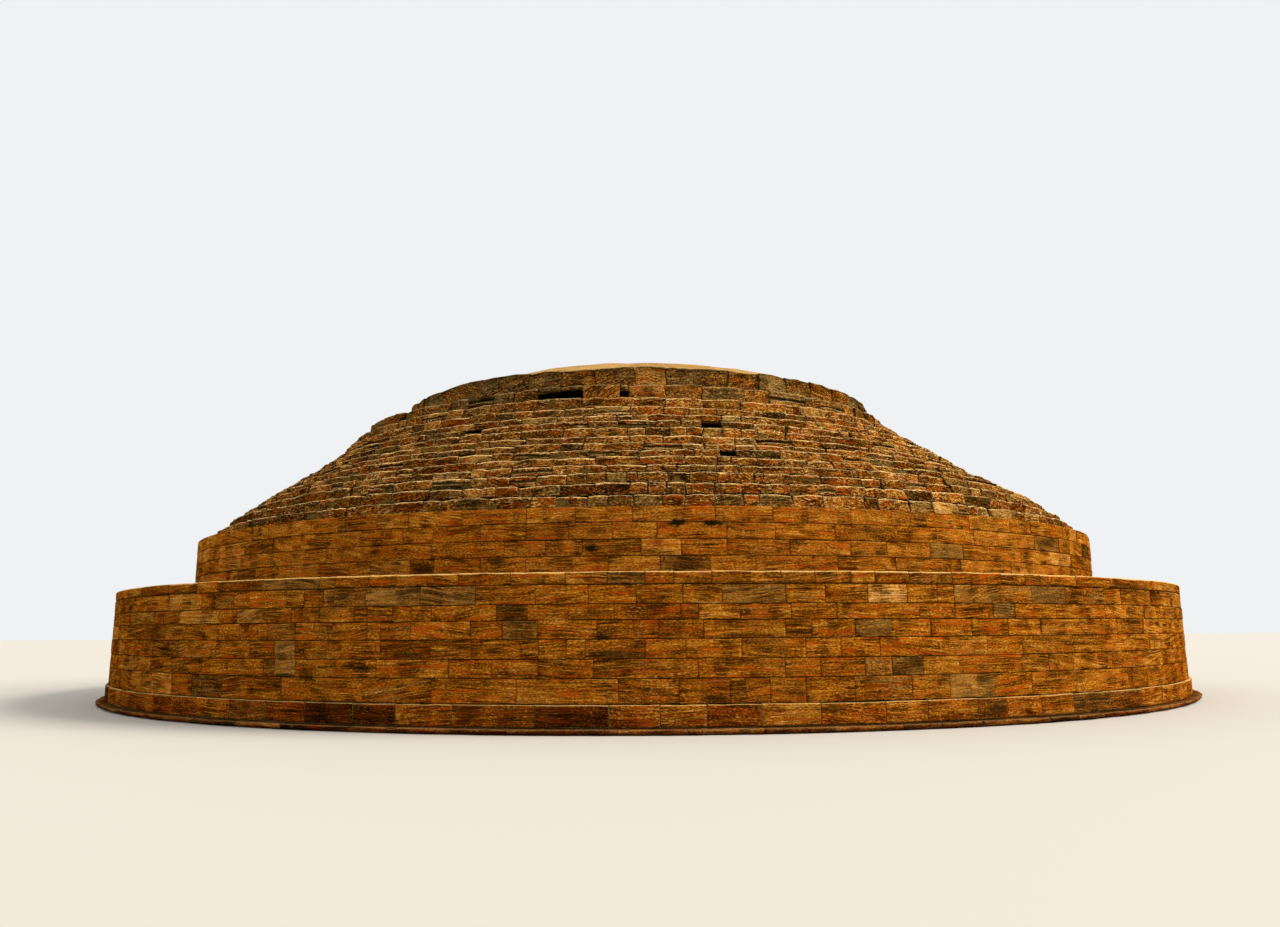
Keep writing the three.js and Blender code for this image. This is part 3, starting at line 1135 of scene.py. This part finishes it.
# %% Other dressed styles
upper_dressed = changed(dressed, stone=upper_drum_stone)
plinth_style = changed(
    dressed, stone=plinth_stone, mortar=plinth_mortar, slot="plinth_stone",
    shortest=0.42, longest=0.9, joint=0.008, side_joint=0.008, sunk=0.006, hollow=0.002,
    edge=0.008, side_wear=0.4, sooty=0.1, wave=0.0, lift=0.003,
)
coping_style = changed(
    dressed, stone=coping_stone, slot="coping_stone",
    shortest=0.3, longest=0.62, edge=0.014, side_wear=0.3, steps=4, rows=2, sooty=0.04, wave=0.002,
)
footing_style = changed(
    dressed, stone=footing_stone, slot="footing_stone",
    shortest=0.35, longest=0.8, inset=0.016, undercut=0.045, edge=0.018, side_wear=0.4,
    relief=0.014, relief_size=0.08, wobble=0.004, wave=0.0, rows=2, columns=8, steps=2,
    tone=(0.44, 0.12), sooty=0.25,
)

# %% [markdown]
# Rubble is short, thick and split, in wide joints, and its courses wander. The ring is laid like
# it in larger blocks, and the rim of the upper ring has a dark band of lichen.

# %% Rubble styles
rubble = changed(
    dressed, stone=rubble_stone, mortar=rubble_mortar, slot="rubble_stone",
    shortest=0.14, longest=0.52, joint=0.015, side_joint=0.009, short=0.007,
    side=0.12, sunk=0.016, inset=0.016, edge=0.012, side_wear=0.5, arch=0.007, bed_shade=0.8,
    wobble=0.007, wobble_size=0.07, relief=0.013, relief_size=0.08,
    proud=0.012, swing=0.014, slant=0.014, tip=0.015, wave=0.014, rows=2,
    tone=(0.46, 0.18), warmth=(0.74, 0.27), sooty=0.16, bedding=0.15, split=0.12,
)
ring_style = changed(
    rubble, stone=ring_stone, slot="ring_stone",
    shortest=0.24, longest=0.62, joint=0.014, side_joint=0.01, short=0.008,
    side=0.16, sunk=0.022, inset=0.026, edge=0.018, side_wear=0.55, arch=0.008,
    wobble=0.009, wobble_size=0.12, relief=0.016, relief_size=0.14,
    proud=0.018, swing=0.02, slant=0.024, rows=3, steps=3,
    tone=(0.45, 0.14), warmth=(0.5, 0.25), sooty=0.15, bedding=0.2, split=0.14,
)
rim_style = changed(ring_style, lichen=0.85)
print(f"rubble is {rubble.shortest} to {rubble.longest} m long")

# %% [markdown]
# The beds between courses wander by a few millimetres, so each course starts on the same wavy
# line as the one below it ended on. Its blocks run in as far as the next course covers them.

# %% Beds and treads
TREAD_COVER = 0.12
TREAD_STEP = 5
WAVE_TURN = 4.0


def wave_at(angle, height, seed):
    """How far a bed wanders up or down at an angle, if it wanders by up to `height`."""
    place = np.array([[math.cos(angle), math.sin(angle), 0.0]]) * WAVE_TURN
    return height * float(rough_noise(place, size=1.0, seed=seed, layers=2)[0])


def tread_depth(course):
    """How deep the blocks of a course run in, so that the next course covers their backs."""
    above = [other for other in stack if abs(other.base - course.top) < SAME_LEVEL]
    if not above:
        return TREAD_COVER
    angles = np.radians(np.arange(0, 360, TREAD_STEP))
    mine = face_radius(course, angles, 1.0) + np.sin(angles) * course.axis_x
    theirs = face_radius(above[0], angles, 0.0) + np.sin(angles) * above[0].axis_x
    return float((mine - theirs).max()) + TREAD_COVER


# %% [markdown]
# Some blocks and holes are placed from the photograph. A row of blocks is noted by the pixel
# column of its left end, and each block by its right end, its tone from dark to pale, its warmth
# and its soot. A hole is noted by its two columns, its height above the bed and how high it is.

# %% What is placed from the photograph
HOLE_DEPTH = 0.3
seen_blocks = {node: [] for node in courses}
seen_holes = {node: [] for node in courses}


def see_block(node, left, right, tone, warmth=0.8, soot=0.0):
    """Notes one block between two pixel columns."""
    start, end = angle_at(left, courses[node]), angle_at(right, courses[node])
    block = SimpleNamespace(start=start, end=end, tone=tone, warmth=warmth, soot=soot)
    seen_blocks[node].append(block)


def see(node, left, *blocks):
    """Notes a row of blocks, each from the right end of the one before it."""
    for right, *look in blocks:
        see_block(node, left, right, *look)
        left = right


def see_hole(node, left, right, above, height, depth=HOLE_DEPTH):
    """Notes a place where a stone has fallen out."""
    course = courses[node]
    low = course.base + above
    span = {"start": angle_at(left, course), "end": angle_at(right, course)}
    seen_holes[node].append(SimpleNamespace(**span, low=low, high=low + height, depth=depth))


# %% [markdown]
# Every block gets its own tone and warmth, and some are sooty. Its wear, how far it stands out,
# how it swings, nods and tips, and the slope of its bedding are drawn at random too, as far as
# its style lets them.

# %% What one block needs to know
SOOT_RANGE = (0.3, 0.8)
WEAR_RANGE = (0.6, 1.5)


def block_note(rng, style, span, heights, back, slants, placed):
    """Everything that one block needs to know. `placed` holds what was seen of it, if anything."""
    tone = float(np.clip(rng.normal(*style.tone), 0.0, 1.0))
    warmth = float(np.clip(rng.normal(*style.warmth), 0.0, 1.0))
    soot = float(rng.uniform(*SOOT_RANGE)) if rng.random() < style.sooty else 0.0
    for block in placed:
        tone, warmth, soot = block.tone, block.warmth, block.soot
    note = {"start": span[0], "end": span[1], "low": heights[0], "high": heights[1], "back": back}
    note |= {"start_slant": slants[0], "end_slant": slants[1]}
    note |= {"tone": tone, "warmth": warmth, "soot": soot, "wear": rng.uniform(*WEAR_RANGE)}
    errors = {"proud": style.proud / 2, "swing": style.swing, "nod": style.swing / 2}
    errors |= {"tip": style.tip, "bedding": style.bedding}
    return note | {key: rng.normal(0, size) for key, size in errors.items()}


# %% [markdown]
# Laying a course puts all of this together. It shares out the blocks, splits some into two thin
# stones, leaves out what has fallen, and makes the piece from the blocks and the core.

# %% Lay a course
THINNEST_STONE = 0.03
SPLIT_RANGE = (0.38, 0.62)
laid = []


def lay_course(node, style, seed):
    """Makes the piece of one course. Blocks and holes from the photograph keep their places."""
    course, seen, holes = courses[node], seen_blocks[node], seen_holes[node]
    rng = np.random.default_rng(seed)
    back = tread_depth(course)
    foot_wave = min(style.wave, laid[-1].wave) if laid else 0.0
    spans = share_out(rng, course.radius, style.shortest, style.longest, [*seen, *holes])
    slants = rng.normal(0, style.slant, len(spans))
    blocks = []
    for span, pair in zip(spans, zip(slants, np.roll(slants, -1))):
        middle = (span[0] + span[1]) / 2
        low = course.base + style.lift + wave_at(middle, foot_wave, seed)
        high = course.top + wave_at(middle, style.wave, seed + 1) - rng.uniform(0, style.short)
        placed = [block for block in seen if block.start < middle < block.end]
        gone = [hole for hole in holes if hole.start < middle < hole.end]
        parts = [(low, high)]
        if gone:
            parts = [(low, gone[0].low), (gone[0].high, high)]
        elif rng.random() < style.split and not placed:
            cut = low + (high - low) * rng.uniform(*SPLIT_RANGE)
            parts = [(low, cut), (cut, high)]
        for heights in parts:
            if heights[1] - heights[0] > THINNEST_STONE:
                blocks.append(block_note(rng, style, span, heights, back, pair, placed))
    laid.append(SimpleNamespace(count=len(blocks), wave=style.wave))
    parts = [shape_blocks(course, blocks, style, seed), core_disc(course, style, holes, seed)]
    return make_piece(f"{node}_stones", parts, [style.stone, style.mortar], node)


# %% [markdown]
# The footing is a rough slab that the plinth stands on. Its nose is worn round and its underside
# is eaten away, so that it throws a dark line on the ground.

# %% The footing
lay_course("footing_course", footing_style, seed=11)

# %% [markdown]
# The plinth has the largest blocks, and their colours differ most, so its front is laid block by
# block from the photograph.

# %% The plinth
see(
    "plinth_course", 121,
    (153, 0.42), (171, 0.3, 1.0), (196, 0.42), (229, 0.5, 1.0), (265, 0.34, 0.4, 0.1),
    (304, 0.34, 0.8, 0.1), (352, 0.16, 0.8, 0.6), (395, 0.2, 1.0, 0.4), (452, 0.5),
    (534, 0.38, 0.7, 0.1), (609, 0.18, 1.0, 0.4), (660, 0.42, 1.0), (707, 0.52), (762, 0.28, 1.0, 0.2),
    (821, 0.6), (886, 0.42, 1.0), (928, 0.54), (978, 0.46), (1007, 0.34, 0.5, 0.2), (1041, 0.5),
    (1074, 0.52), (1111, 0.38, 0.25, 0.3), (1142, 0.32, 0.45, 0.25), (1162, 0.55), (1178, 0.52),
)
lay_course("plinth_course", plinth_style, seed=12)

# %% [markdown]
# The lower drum is dressed blocks with joints hardly wider than a knife blade. One block near its
# top is much paler than the rest, and a few are grey or green.

# %% What the photograph shows of the lower drum
see(
    "lower_drum_course_1", 192,
    (222, 0.28, 0.3, 0.25), (247, 0.48, 1.0), (281, 0.4, 1.0), (311, 0.44, 1.0), (362, 0.5),
    (431, 0.42, 0.6), (516, 0.46), (618, 0.52), (679, 0.42), (730, 0.36, 0.7, 0.1), (770, 0.42),
    (806, 0.42, 1.0), (855, 0.46), (912, 0.4, 0.5, 0.1), (950, 0.48), (994, 0.52, 0.2),
    (1032, 0.5, 1.0), (1077, 0.46), (1128, 0.54),
)
see(
    "lower_drum_course_2", 202,
    (263, 0.48), (274, 0.36, 0.5, 0.2), (295, 0.44, 0.2), (335, 0.44, 1.0), (376, 0.44),
    (448, 0.5, 1.0), (491, 0.46), (538, 0.45), (593, 0.42), (698, 0.46), (785, 0.45), (821, 0.44),
    (865, 0.44), (892, 0.42, 0.4), (923, 0.34, 0.3, 0.15), (959, 0.56, 0.7), (1022, 0.46, 1.0),
    (1049, 0.48, 0.5), (1073, 0.48), (1112, 0.5),
)
see(
    "lower_drum_course_3", 216,
    (249, 0.45), (274, 0.42), (295, 0.42, 0.15), (304, 0.4), (341, 0.48), (380, 0.45, 0.7),
    (430, 0.36, 0.8, 0.1), (471, 0.46), (538, 0.44), (566, 0.5), (585, 0.46), (645, 0.42, 0.7),
    (686, 0.45), (742, 0.5), (806, 0.45), (841, 0.5), (880, 0.46, 1.0), (949, 0.46, 1.0), (987, 0.58),
    (1022, 0.5), (1073, 0.48), (1112, 0.52), (1131, 0.54),
)
see(
    "lower_drum_course_4", 202,
    (219, 0.46), (239, 0.42), (268, 0.36, 1.0), (295, 0.4, 0.4), (332, 0.42, 1.0), (367, 0.45, 0.9),
    (380, 0.42), (410, 0.4, 0.6), (470, 0.5, 1.0), (502, 0.4), (537, 0.34, 0.3, 0.2), (597, 0.5),
    (659, 0.4), (704, 0.42), (786, 0.46), (812, 0.46), (855, 0.46), (892, 0.34, 0.2, 0.25), (931, 0.5),
    (972, 0.46, 1.0), (1008, 0.5, 1.0), (1041, 0.5), (1088, 0.48), (1117, 0.46),
)
see(
    "lower_drum_course_5", 219,
    (237, 0.42, 0.9), (262, 0.52, 0.2), (291, 0.46), (319, 0.42), (354, 0.44, 0.5), (367, 0.4),
    (392, 0.5), (411, 0.42), (431, 0.44), (496, 0.45), (527, 0.3, 0.6, 0.3), (568, 0.48), (614, 0.44),
    (647, 0.42), (681, 0.3, 1.0, 0.15), (699, 0.3, 1.0, 0.2), (740, 0.54, 1.0), (791, 0.42, 1.0),
    (837, 0.42), (878, 0.46), (919, 0.5), (955, 0.48, 1.0), (993, 0.5), (1015, 0.42, 0.2), (1056, 0.5),
    (1105, 0.5), (1126, 0.56),
)
see(
    "lower_drum_course_6", 201,
    (216, 0.42), (234, 0.36, 0.5, 0.1), (249, 0.42), (286, 0.48, 1.0), (304, 0.5, 1.0),
    (323, 0.42, 1.0), (334, 0.42, 0.4), (365, 0.36, 0.35, 0.15), (420, 0.42, 0.15), (475, 0.45, 0.15),
    (535, 0.46), (588, 0.5), (636, 0.46, 1.0), (683, 0.45), (722, 0.55), (786, 0.42, 0.3), (825, 0.48),
    (868, 0.52), (907, 0.82), (937, 0.46), (954, 0.5), (999, 0.5, 0.3), (1031, 0.45, 0.5),
    (1065, 0.32, 0.2, 0.15), (1103, 0.34, 0.5, 0.15), (1121, 0.5), (1136, 0.5),
)
see(
    "coping_course", 197,
    (217, 0.46), (262, 0.32, 0.5, 0.1), (320, 0.42, 0.2), (335, 0.46), (369, 0.4), (396, 0.42),
    (427, 0.5), (458, 0.44), (510, 0.42), (565, 0.45), (607, 0.55), (645, 0.32, 0.3, 0.25), (674, 0.4),
    (712, 0.42), (750, 0.45), (781, 0.5), (815, 0.46), (851, 0.38), (875, 0.54), (909, 0.46),
    (952, 0.36, 0.4, 0.1), (1001, 0.44, 1.0), (1025, 0.4), (1040, 0.34), (1076, 0.42), (1110, 0.44),
)

# %% [markdown]
# The courses of a drum are laid one on the other, each with a seed of its own, and the coping
# closes the lower drum.

# %% The lower drum and the coping
for number in range(1, 7):
    lay_course(f"lower_drum_course_{number}", dressed, seed=19 + number)
lay_course("coping_course", coping_style, seed=26)

# %% [markdown]
# The upper drum is laid like the lower one, with one pale block in its second course.

# %% The upper drum
see(
    "upper_drum_course_1", 237,
    (255, 0.26, 0.4, 0.2), (278, 0.46), (318, 0.5), (349, 0.46), (370, 0.46, 1.0), (410, 0.56, 0.6),
    (434, 0.3, 1.0, 0.2), (480, 0.46), (526, 0.46), (608, 0.5), (660, 0.54), (710, 0.32, 0.3, 0.2),
    (756, 0.5), (838, 0.46, 1.0), (896, 0.44), (961, 0.46), (1011, 0.5), (1060, 0.52),
)
see(
    "upper_drum_course_2", 273,
    (305, 0.48), (326, 0.44), (362, 0.46), (397, 0.44, 1.0), (431, 0.46), (504, 0.42), (545, 0.45),
    (582, 0.5), (641, 0.42), (681, 0.66), (727, 0.42), (790, 0.48), (851, 0.48), (887, 0.52),
    (930, 0.48), (963, 0.42, 0.15, 0.1), (990, 0.5), (1021, 0.5), (1050, 0.52),
)
see(
    "upper_drum_course_3", 245,
    (273, 0.34, 0.6, 0.15), (301, 0.48), (360, 0.46), (403, 0.46), (433, 0.45), (480, 0.42), (526, 0.4),
    (568, 0.38), (612, 0.45), (657, 0.48), (727, 0.42), (775, 0.46), (835, 0.44), (897, 0.38, 0.7, 0.1),
    (936, 0.48), (974, 0.5), (998, 0.52), (1034, 0.52), (1059, 0.34, 0.3, 0.2),
)
see(
    "upper_drum_course_4", 252,
    (268, 0.44, 0.5), (311, 0.5), (338, 0.46), (377, 0.34, 0.8, 0.1), (408, 0.52), (462, 0.5, 1.0),
    (526, 0.44), (575, 0.54), (632, 0.48), (715, 0.48), (773, 0.5), (807, 0.42), (851, 0.58),
    (891, 0.52), (926, 0.42, 0.4), (953, 0.5), (969, 0.46), (1010, 0.5),
)
for number in range(1, 5):
    lay_course(f"upper_drum_course_{number}", upper_dressed, seed=26 + number)

# %% [markdown]
# The dome is rubble: short thick stones in wide joints, in courses that wander a little. Only the
# stones that stand out in the photograph are noted, in one or two rows to a course.

# %% The dome
see_hole("dome_course_06", 721, 737, above=0.036, height=0.038)
see_hole("dome_course_10", 459, 480, above=0.045, height=0.075)
see_hole("dome_course_10", 702, 722, above=0.034, height=0.058)
see(
    "dome_course_01", 487,
    (530, 0.42, 0.6), (555, 0.46, 1.0), (587, 0.5, 1.0), (608, 0.56, 0.15), (633, 0.38, 0.4),
    (662, 0.46, 0.2), (685, 0.52, 1.2), (715, 0.4, 1.1, 0.1), (744, 0.34, 0.25, 0.1), (760, 0.5, 1.2),
    (794, 0.42, 0.2), (824, 0.48),
)
see(
    "dome_course_02", 495,
    (517, 0.4, 1.2), (560, 0.38, 0.4), (595, 0.2, 0.5, 0.5), (629, 0.22, 0.8, 0.5), (648, 0.5),
    (666, 0.4, 0.6), (686, 0.28, 0.4, 0.1), (715, 0.46, 1.3), (742, 0.46), (765, 0.32, 1.2, 0.1),
    (791, 0.4), (820, 0.42),
)
see("dome_course_03", 486, (509, 0.42, 1.3))
see(
    "dome_course_03", 566,
    (586, 0.48, 1.1), (606, 0.46, 0.9), (627, 0.58, 0.15), (637, 0.42, 1.2), (668, 0.42, 0.4),
    (690, 0.26, 0.6, 0.2), (718, 0.38, 0.6), (730, 0.46, 1.2), (755, 0.52, 1.0), (764, 0.46, 1.3),
    (791, 0.4, 0.6), (822, 0.42),
)
see(
    "dome_course_04", 647,
    (677, 0.5), (717, 0.42, 0.3), (742, 0.4, 0.6), (764, 0.42, 0.9), (804, 0.5, 1.1),
)
see(
    "dome_course_05", 640,
    (685, 0.5, 1.3), (718, 0.44, 0.6), (731, 0.56, 0.2), (757, 0.48, 1.2), (785, 0.4, 1.0),
)
see("dome_course_06", 640, (670, 0.46, 1.1), (694, 0.38, 1.0), (721, 0.42, 0.5))
see(
    "dome_course_07", 682,
    (705, 0.52, 0.2), (736, 0.44, 1.0), (757, 0.46), (785, 0.5, 1.2), (795, 0.64, 0.4),
)
see("dome_course_08", 630, (663, 0.55, 0.6), (705, 0.46, 0.9))
see("dome_course_09", 520, (563, 0.3, 0.5, 0.1))
see(
    "dome_course_09", 670,
    (687, 0.5, 0.9), (703, 0.42, 1.2), (724, 0.55, 0.2), (742, 0.46, 1.2), (759, 0.46, 1.1),
)
see("dome_course_11", 633, (648, 0.62), (685, 0.4), (722, 0.44, 0.9), (742, 0.64, 0.1))
see("dome_course_12", 630, (664, 0.54, 0.9), (689, 0.48, 1.2), (717, 0.46, 1.0), (757, 0.45, 0.6))
see("dome_course_12", 764, (787, 0.06, 0.2, 0.9))
see("dome_course_13", 447, (462, 0.6, 0.6))
see(
    "dome_course_13", 640,
    (665, 0.34, 0.5), (703, 0.54, 1.0), (741, 0.46, 0.6), (768, 0.5, 1.2), (794, 0.54, 1.0),
)
see("dome_course_13", 801, (824, 0.8, 0.5))
for number in range(1, 14):
    lay_course(f"dome_course_{number:02d}", rubble, seed=30 + number)

# %% [markdown]
# The ring at the top is laid in larger blocks, greyer than the dome. A long slot has opened under
# two of them, and one block beside it is a clear orange.

# %% The ring
see_hole("ring_course_lower", 467, 492, above=0.165, height=0.062)
see_hole("ring_course_lower", 537, 559, above=0.1, height=0.07)
see_hole("ring_course_lower", 559, 582, above=0.1, height=0.085)
see_hole("ring_course_lower", 620, 628, above=0.1, height=0.055, depth=0.2)
see("ring_course_lower", 582, (620, 0.55, 1.0))
see("ring_course_lower", 628, (666, 0.66, 1.4), (702, 0.48, 0.6), (745, 0.38, 0.3))
see(
    "ring_course_upper", 440,
    (480, 0.4, 0.5), (527, 0.34, 0.3), (560, 0.38, 0.4), (595, 0.42, 0.7), (635, 0.38, 0.4),
    (666, 0.86, 1.9), (694, 0.36, 0.35), (728, 0.3, 0.4), (760, 0.36, 0.7),
)
lay_course("ring_course_lower", ring_style, seed=44)
lay_course("ring_course_upper", rim_style, seed=45)
print(f"{sum(course.count for course in laid)} stones in {len(laid)} courses")

# %% [markdown]
# The cap is packed sand and lime, spread over the heart of the dome and left to the weather. It
# is a low mound on a round grid, pushed about by noise and closed underneath.

# %% The cap
CAP_TURNS = 120
CAP_RINGS = 36
CAP_ROUGHNESS = 0.02
CAP_SEED = 90
LUMP_SIZE = 0.5
LUMP_LAYERS = 5
STILL_AT_RIM = 6

cap = courses["cap_mound"]
shares = np.linspace(0, 1, CAP_RINGS)[1:]
cap_angles = np.linspace(-math.pi, math.pi, CAP_TURNS, endpoint=False)
share, cap_angle = [grid.reshape(-1) for grid in np.meshgrid(shares, cap_angles, indexing="ij")]
slope = share * math.pi / 2
reach = (cap.radius - CAP_ROUGHNESS) * np.sin(slope)
level = cap.base + (cap.top - cap.base - 2 * CAP_ROUGHNESS) * np.cos(slope)
cap_points = around(cap.axis_x, cap_angle, reach, level)
lumps = rough_noise(cap_points, LUMP_SIZE, CAP_SEED, LUMP_LAYERS)
cap_points[:, 2] += CAP_ROUGHNESS * lumps * (1 - share**STILL_AT_RIM)
summit = [[cap.axis_x, 0.0, cap.top - 2 * CAP_ROUGHNESS]]
cap_points = np.concatenate([summit, cap_points])
print(f"the cap rises {cap_points[:, 2].max() - cap.base:.2f} m")

# %% [markdown]
# Triangles join the summit to the first ring of points, squares join each ring to the next, and one
# large face closes the underside.

# %% The faces of the cap
rings = np.arange(1, len(cap_points)).reshape(-1, CAP_TURNS)
after = np.roll(rings, -1, axis=1)
cap_faces = []
for here, there in zip(rings.T.tolist(), after.T.tolist()):
    cap_faces.append([0, here[0], there[0]])
    for inner in range(CAP_RINGS - 2):
        outer = inner + 1
        cap_faces.append([here[inner], here[outer], there[outer], there[inner]])
cap_faces.append(rings[-1][::-1].tolist())
cap_stone = np.tile(PLAIN_NOTE, (len(cap_points), 1))
cap_part = (cap_points, cap_faces, cap_points, cap_stone)
make_piece("cap_mound_screed", [cap_part], [screed], "cap_mound")

# %% [markdown]
# The floor is a plain pale plane, which isn't part of the stupa.

# %% The floor
FLOOR_HALF = 120.0
FLOOR_ROUGHNESS = 0.9
FLOOR_CORNERS = [(-1, -1), (1, -1), (1, 1), (-1, 1)]

floor_mesh = bpy.data.meshes.new("floor")
floor_points = [(x * FLOOR_HALF, y * FLOOR_HALF, 0) for x, y in FLOOR_CORNERS]
floor_mesh.from_pydata(floor_points, [], [(0, 1, 2, 3)])
floor = bpy.data.objects.new("floor", floor_mesh)
bpy.context.scene.collection.objects.link(floor)
pale_floor, board, shader = new_material("pale_floor")
board.wire(shader, {"Base Color": colour("c2bcb0"), "Roughness": FLOOR_ROUGHNESS})
floor_mesh.materials.append(pale_floor)
print(f"floor {2 * FLOOR_HALF:.0f} m across")

# %% [markdown]
# The light is a wide soft sun from the upper right, a little warm, with a pale sky all round that
# fills the shadows.

# %% The light
SUN_STRENGTH = 4.2
SUN_WIDTH = math.radians(30)
SUN_HEIGHT = math.radians(36)
SUN_SIDE = math.radians(84)
SUN_COLOUR = (1.0, 0.95, 0.88)
SKY_COLOUR = (0.96, 0.98, 1.0, 1.0)
SKY_STRENGTH = 0.9

sun_light = bpy.data.lights.new("soft_sun", "SUN")
sun_light.energy = SUN_STRENGTH
sun_light.angle = SUN_WIDTH
sun_light.color = SUN_COLOUR
sun = bpy.data.objects.new("soft_sun", sun_light)
sun.rotation_euler = (math.pi / 2 - SUN_HEIGHT, 0, SUN_SIDE)
bpy.context.scene.collection.objects.link(sun)

world = bpy.data.worlds.new("pale_sky")
bpy.context.scene.world = world
world.use_nodes = True
sky = world.node_tree.nodes["Background"]
sky.inputs["Color"].default_value = SKY_COLOUR
sky.inputs["Strength"].default_value = SKY_STRENGTH
bpy.context.scene.view_settings.view_transform = "Standard"
print(f"sun {SUN_STRENGTH} and sky {SKY_STRENGTH}")

# %% [markdown]
